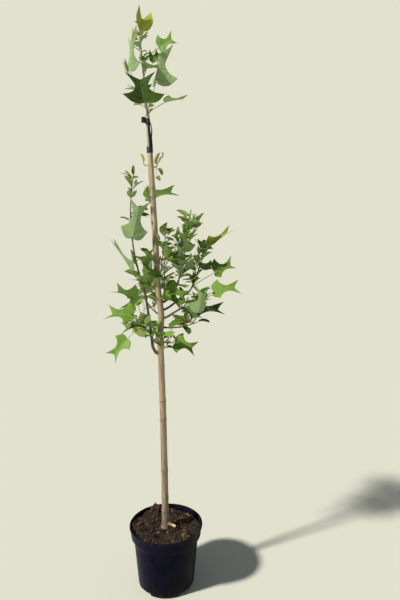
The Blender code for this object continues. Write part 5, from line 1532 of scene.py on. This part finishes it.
# The skin of a leaf: clouded, with paler ribs where the mark says and a fine net of veins between them.
skin, skin_in, skin_out = new_group(
    "leaf_skin", (("Mark", "Float", 0.0), ("Blade", "Color", (0.1, 0.2, 0.03, 1)),
                  ("Rib", "Color", (0.3, 0.4, 0.1, 1)), ("Net", "Float", 0.3)),
    (("Tone", "Color"), ("Height", "Float")))
on_leaf = add(skin, "UVMap", uv_map="blade").outputs[0]
cells = add(skin, "TexVoronoi", {"Vector": on_leaf, "Scale": 26.0}, feature="DISTANCE_TO_EDGE")
net = ranged(skin, cells.outputs["Distance"], 0.10, 0.0)
paler = add(skin, "HueSaturation", {"Color": skin_in["Blade"], "Value": 1.35, "Saturation": 0.92,
                                    "Hue": 0.49})
clouded = mixed(skin, ranged(skin, over(skin, 70, detail=3), 0.3, 0.8), skin_in["Blade"], paler.outputs[0])
veined = mixed(skin, sums(skin, "MULTIPLY", net, skin_in["Net"]), clouded, skin_in["Rib"])
ribbed = sums(skin, "MULTIPLY", sums(skin, "POWER", skin_in["Mark"], 8.0), 0.5)
skin.links.new(mixed(skin, ribbed, veined, skin_in["Rib"]), skin_out["Tone"])
skin.links.new(sums(skin, "SUBTRACT", over(skin, 500), net), skin_out["Height"])


def leaf_finish(name, tone, rib, net, roughness, shine):
    """A finish for one side of a leaf: satin above, chalky below."""
    made, tree, shader = new_finish(name, tone, roughness, Specular_IOR_Level=shine)
    mark = add(tree, "Attribute", attribute_name="mark").outputs["Fac"]
    laid = add(tree, "Group", {"Mark": mark, "Blade": tone, "Rib": rib, "Net": net}, node_tree=skin).outputs
    tree.links.new(laid["Tone"], shader["Base Color"])
    raised(tree, shader, laid["Height"], 0.00012)
    return made


leaf_finishes = []
for label, tone in LEAF_TONES:
    rib_tone = tuple(0.6 * value + part for value, part in zip(tone, RIB_PALER))
    leaf_finishes.append(leaf_finish(label, tone, rib_tone, 0.16, 0.50, 0.24))
leaf_finishes += [leaf_finish(*underside) for underside in UNDERSIDES]


def leaf_edge(runs, seed):
    """A blade's edge as flat points, right side up and left side down, with its sides a little unlike."""
    sides = []
    for side in (1, -1):
        draw = random.Random(f"{seed} {side}")
        waist, lower = draw.uniform(-0.02, 0.035), draw.uniform(-0.06, 0.05)
        upper, skew = draw.uniform(-0.05, 0.05), draw.uniform(-0.02, 0.02)
        line = []
        for run in runs:
            for p in bent([Vector(point) for point in run], 3)[:-1]:
                x = p.x - (waist * math.exp(-((p.y - 0.52) / 0.15) ** 2) if p.x > 0.1 else 0)
                x *= (1 + lower * math.exp(-((p.y - 0.2) / 0.2) ** 2)
                      + upper * math.exp(-((p.y - 1) / 0.25) ** 2))
                line.append(Vector((side * x, p.y + skew * x)))
        sides.append(line)
    notch = Vector(runs[-1][-1])
    return sides[0] + [notch] + sides[1][:0:-1]


def off_lines(point, lines):
    """How far a flat point is from the nearest of some straight lines."""
    nearest = 9.0
    for a, b in lines:
        run = b - a
        share = max(0.0, min(1.0, (point - a).dot(run) / max(run.length_squared, 1e-12)))
        nearest = min(nearest, (point - a - run * share).length)
    return nearest


def inside(point, edge):
    """True if a flat point lies within a closed edge."""
    odd = False
    for a, b in zip(edge, edge[1:] + edge[:1]):
        if (a.y > point.y) != (b.y > point.y) and point.x < (b.x - a.x) * (point.y - a.y) / (b.y - a.y) + a.x:
            odd = not odd
    return odd


def sides_of(faces):
    """Each side of some faces, with how many of the faces use it."""
    return Counter(frozenset(side) for face in faces for side in zip(face, face[1:] + face[:1]))


def parted(flat, marks, rim, faces):
    """A pattern with each line from rim to rim across the blade halved, so that its two sides stay apart."""
    while True:
        sides = sides_of(faces)
        across = [side for side, uses in sides.items() if uses == 2 and all(rim[i] for i in side)]
        if not across:
            return flat, marks, rim, faces
        a, b = across[0]
        middle = len(flat)
        flat.append((flat[a] + flat[b]) / 2)
        marks.append(0.0)
        rim.append(False)
        halved = []
        for face in faces:
            if a in face and b in face:
                halved += [tuple(middle if i == end else i for i in face) for end in (a, b)]
            else:
                halved.append(face)
        faces = halved


def blade_pattern(runs, ribs, seed):
    """A flat blade cut into small triangles along its ribs: points, marks, whether on the edge, triangles."""
    edge = leaf_edge(runs, seed)
    points = list(edge)
    joins = [(i, (i + 1) % len(edge)) for i in range(len(edge))]
    rib_lines = [[Vector((0, 0.012 + (runs[-1][-1][1] - 0.012) * k / 16)) for k in range(17)]]
    rib_lines += [bent([Vector((side * p[0], p[1])) for p in line], 4) for side in (1, -1) for line in ribs]
    straight = []
    for line in rib_lines:
        first = len(points)
        points += line
        joins += [(first + k, first + k + 1) for k in range(len(line) - 1)]
        straight += list(zip(line, line[1:]))
    around = list(zip(edge, edge[1:] + edge[:1]))
    for row in range(int(1.1 / (CELL_STEP * CELL_ROW)) + 2):
        for column in range(-13, 14):
            p = Vector(((column + 0.5 * (row % 2)) * CELL_STEP, -0.05 + row * CELL_STEP * CELL_ROW))
            if abs(p.x) < 0.72 and inside(p, edge) and off_lines(p, around + straight) > CELL_STEP * 0.42:
                points.append(p)
    cut = geometry.delaunay_2d_cdt(points, joins, [list(range(len(edge)))], 1, 1e-5)
    flat, faces = list(cut[0]), [tuple(face) for face in cut[2] if len(face) == 3]
    marks = [1.0 if off_lines(p, straight) < 1e-4 else 0.0 for p in flat]
    sides = sides_of(faces)
    outer = {i for side, uses in sides.items() if uses == 1 for i in side}
    return parted(flat, marks, [i in outer for i in range(len(flat))], faces)


blades = {shape: [blade_pattern(EDGES[shape], RIBS[shape], f"{shape} {n}") for n in range(count)]
          for shape, count in PATTERNS.items()}


def leaf_skin_of(leaf, frame_of_leaf, pattern):
    """A leaf's corners, marks, upper faces and lower faces: its ribs are sunk above and stand out below."""
    flat, marks, rim, faces = pattern
    half, sunk, stood = thick_of(leaf) / 2, leaf.blade * RIB_SUNK, leaf.blade * RIB_STOOD
    corners, corner_marks, above, below = [], [], [], []
    for p, mark, at_edge in zip(flat, marks, rim):
        above.append(len(corners))
        corners.append(set_on(leaf, frame_of_leaf, p.x, p.y, 0 if at_edge else half - sunk * mark))
        corner_marks.append(mark)
        if at_edge:
            below.append(above[-1])
            continue
        below.append(len(corners))
        corners.append(set_on(leaf, frame_of_leaf, p.x, p.y, -half - sunk * mark - stood * mark))
        corner_marks.append(mark)
    upper = [tuple(above[i] for i in face) for face in faces]
    lower = [tuple(below[i] for i in reversed(face)) for face in faces]
    return corners, corner_marks, upper, lower


def leaf_piece(name, shoots_of_piece):
    """All the leaves of some shoots as one piece, each side of each leaf with its own place in the bake."""
    pile, sheets = Pile(), []
    for shoot in shoots_of_piece:
        tones = stated_tones(shoot)
        for number, (leaf, foot, joint, frame_of_leaf) in growth.leaves_of(shoot):
            draw = random.Random(f"tone {shoot.name} {number}")
            pattern = draw.choice(blades[shape_of(leaf)])
            tone = tones.get(number, draw.choice(LEAF_DEAL if leaf.blade >= SMALL_BLADE else SMALL_DEAL))
            corners, marks, upper, lower = leaf_skin_of(leaf, frame_of_leaf, pattern)
            chalky = len(LEAF_TONES) + (1 if tone >= OLIVE else 0 if number in tones else 2)
            pile.lay(corners, upper + lower, marks, [tone] * len(upper) + [chalky] * len(lower))
            sheets += [(pattern[0], pattern[3]), (pattern[0], [face[::-1] for face in pattern[3]])]
    piece = pile.made(name, leaf_finishes, 75, "leaf_green", *[shoot.name for shoot in shoots_of_piece])
    bake, blade = piece.data.uv_layers.new(name="OFBake"), piece.data.uv_layers.new(name="blade")
    across = math.ceil(math.sqrt(len(sheets)))
    spots, flats = [], []
    for number, (flat, faces) in enumerate(sheets):
        for p in [flat[i] for face in faces for i in face]:
            flats += (p.x, p.y)
            spots += ((number % across + 0.04 + 0.92 * (p.x + 0.72) / 1.44) / across,
                      (number // across + 0.04 + 0.92 * (p.y + 0.06) / 1.10) / across)
    bake.data.foreach_set("uv", spots)
    blade.data.foreach_set("uv", flats)
    piece.data.uv_layers.active = bake
    bake.active_render = True
    return piece


PIECES = {"leader_leaves_fine": ("leader_leaves", "right_tuft", "left_tuft", "upper_back_leaf"),
          "left_leaves_fine": ("left_tall_leaves", "left_low_leaves", "left_inner_leaves", "left_mid_leaves"),
          "right_leaves_fine": ("right_high_leaves", "right_outer_leaves", "right_mid_leaves",
                                "right_low_leaves"),
          "middle_leaves_fine": ("middle_leaves", "right_foot_leaves", "front_low_leaves"),
          "back_leaves_fine": ("back_leaves", "back_high_leaves", "back_left_leaves")}
for name, members in PIECES.items():
    leaf_piece(name, [shoot for shoot in SHOOTS if shoot.name in members])

# --------------------------------------------------------------------------------------------- The buds
# Flattened buds like a duck's bill, in a pair of smooth green-brown stipules: one ending each shoot and a
# small one in each leaf's axil.

BUD_LINE = ((0, 0.30), (0.10, 0.75), (0.28, 1.0), (0.50, 0.92), (0.74, 0.62), (0.90, 0.30), (1.0, 0.04))
BUD_SIDES, BUD_SUNK = 10, 0.0008
END_BUD, AXIL_BUD = 0.0028, (0.0038, 0.0011)        # the least length at a shoot's end; length and half width

bud_skin = mottled("bud_scales", (0.20, 0.215, 0.085), 0.5, (110,), (0.3, (0.135, 0.105, 0.050)),
                   (0.6, (0.20, 0.225, 0.085)), (0.85, (0.30, 0.32, 0.15)))[0]


def bud(foot, way, side, long, wide):
    """A bud's corners and faces: a pressed spindle along a way, wider on one side."""
    out = side - side.dot(way) * way
    out = (out if out.length > 0.01 else way.orthogonal()).normalized()
    other = way.cross(out)
    corners = []
    for share, reach in BUD_LINE:
        for k in range(BUD_SIDES):
            turn = math.tau * k / BUD_SIDES
            corners.append(foot + way * long * share + out * wide * reach * math.cos(turn)
                           + other * wide * 0.5 * reach * math.sin(turn))
    return corners, tube_faces(len(BUD_LINE), BUD_SIDES)


buds = Pile()
for shoot in SHOOTS:
    for path, radii in [stems[shoot.name]] + sprigs[shoot.name] + finer[shoot.name]:
        way = (path[-1] - path[-2]).normalized()
        foot, long = path[-1] - way * BUD_SUNK, END_BUD + radii[-1] * 3.2
        buds.lay(*bud(foot, way, Vector((1, 0.3, 0)), long, radii[-1] * 1.5))
    for number, (leaf, foot, joint, frame_of_leaf) in growth.leaves_of(shoot):
        way = (heading(leaf.compass, leaf.rise) * 0.6 + Vector((0, 0, 0.9))).normalized()
        out = heading(leaf.compass, 0)
        buds.lay(*bud(foot + out * BUD_SUNK, way, out.cross(way), *AXIL_BUD))
buds.made("buds", (bud_skin,), 60, "leaf_green")
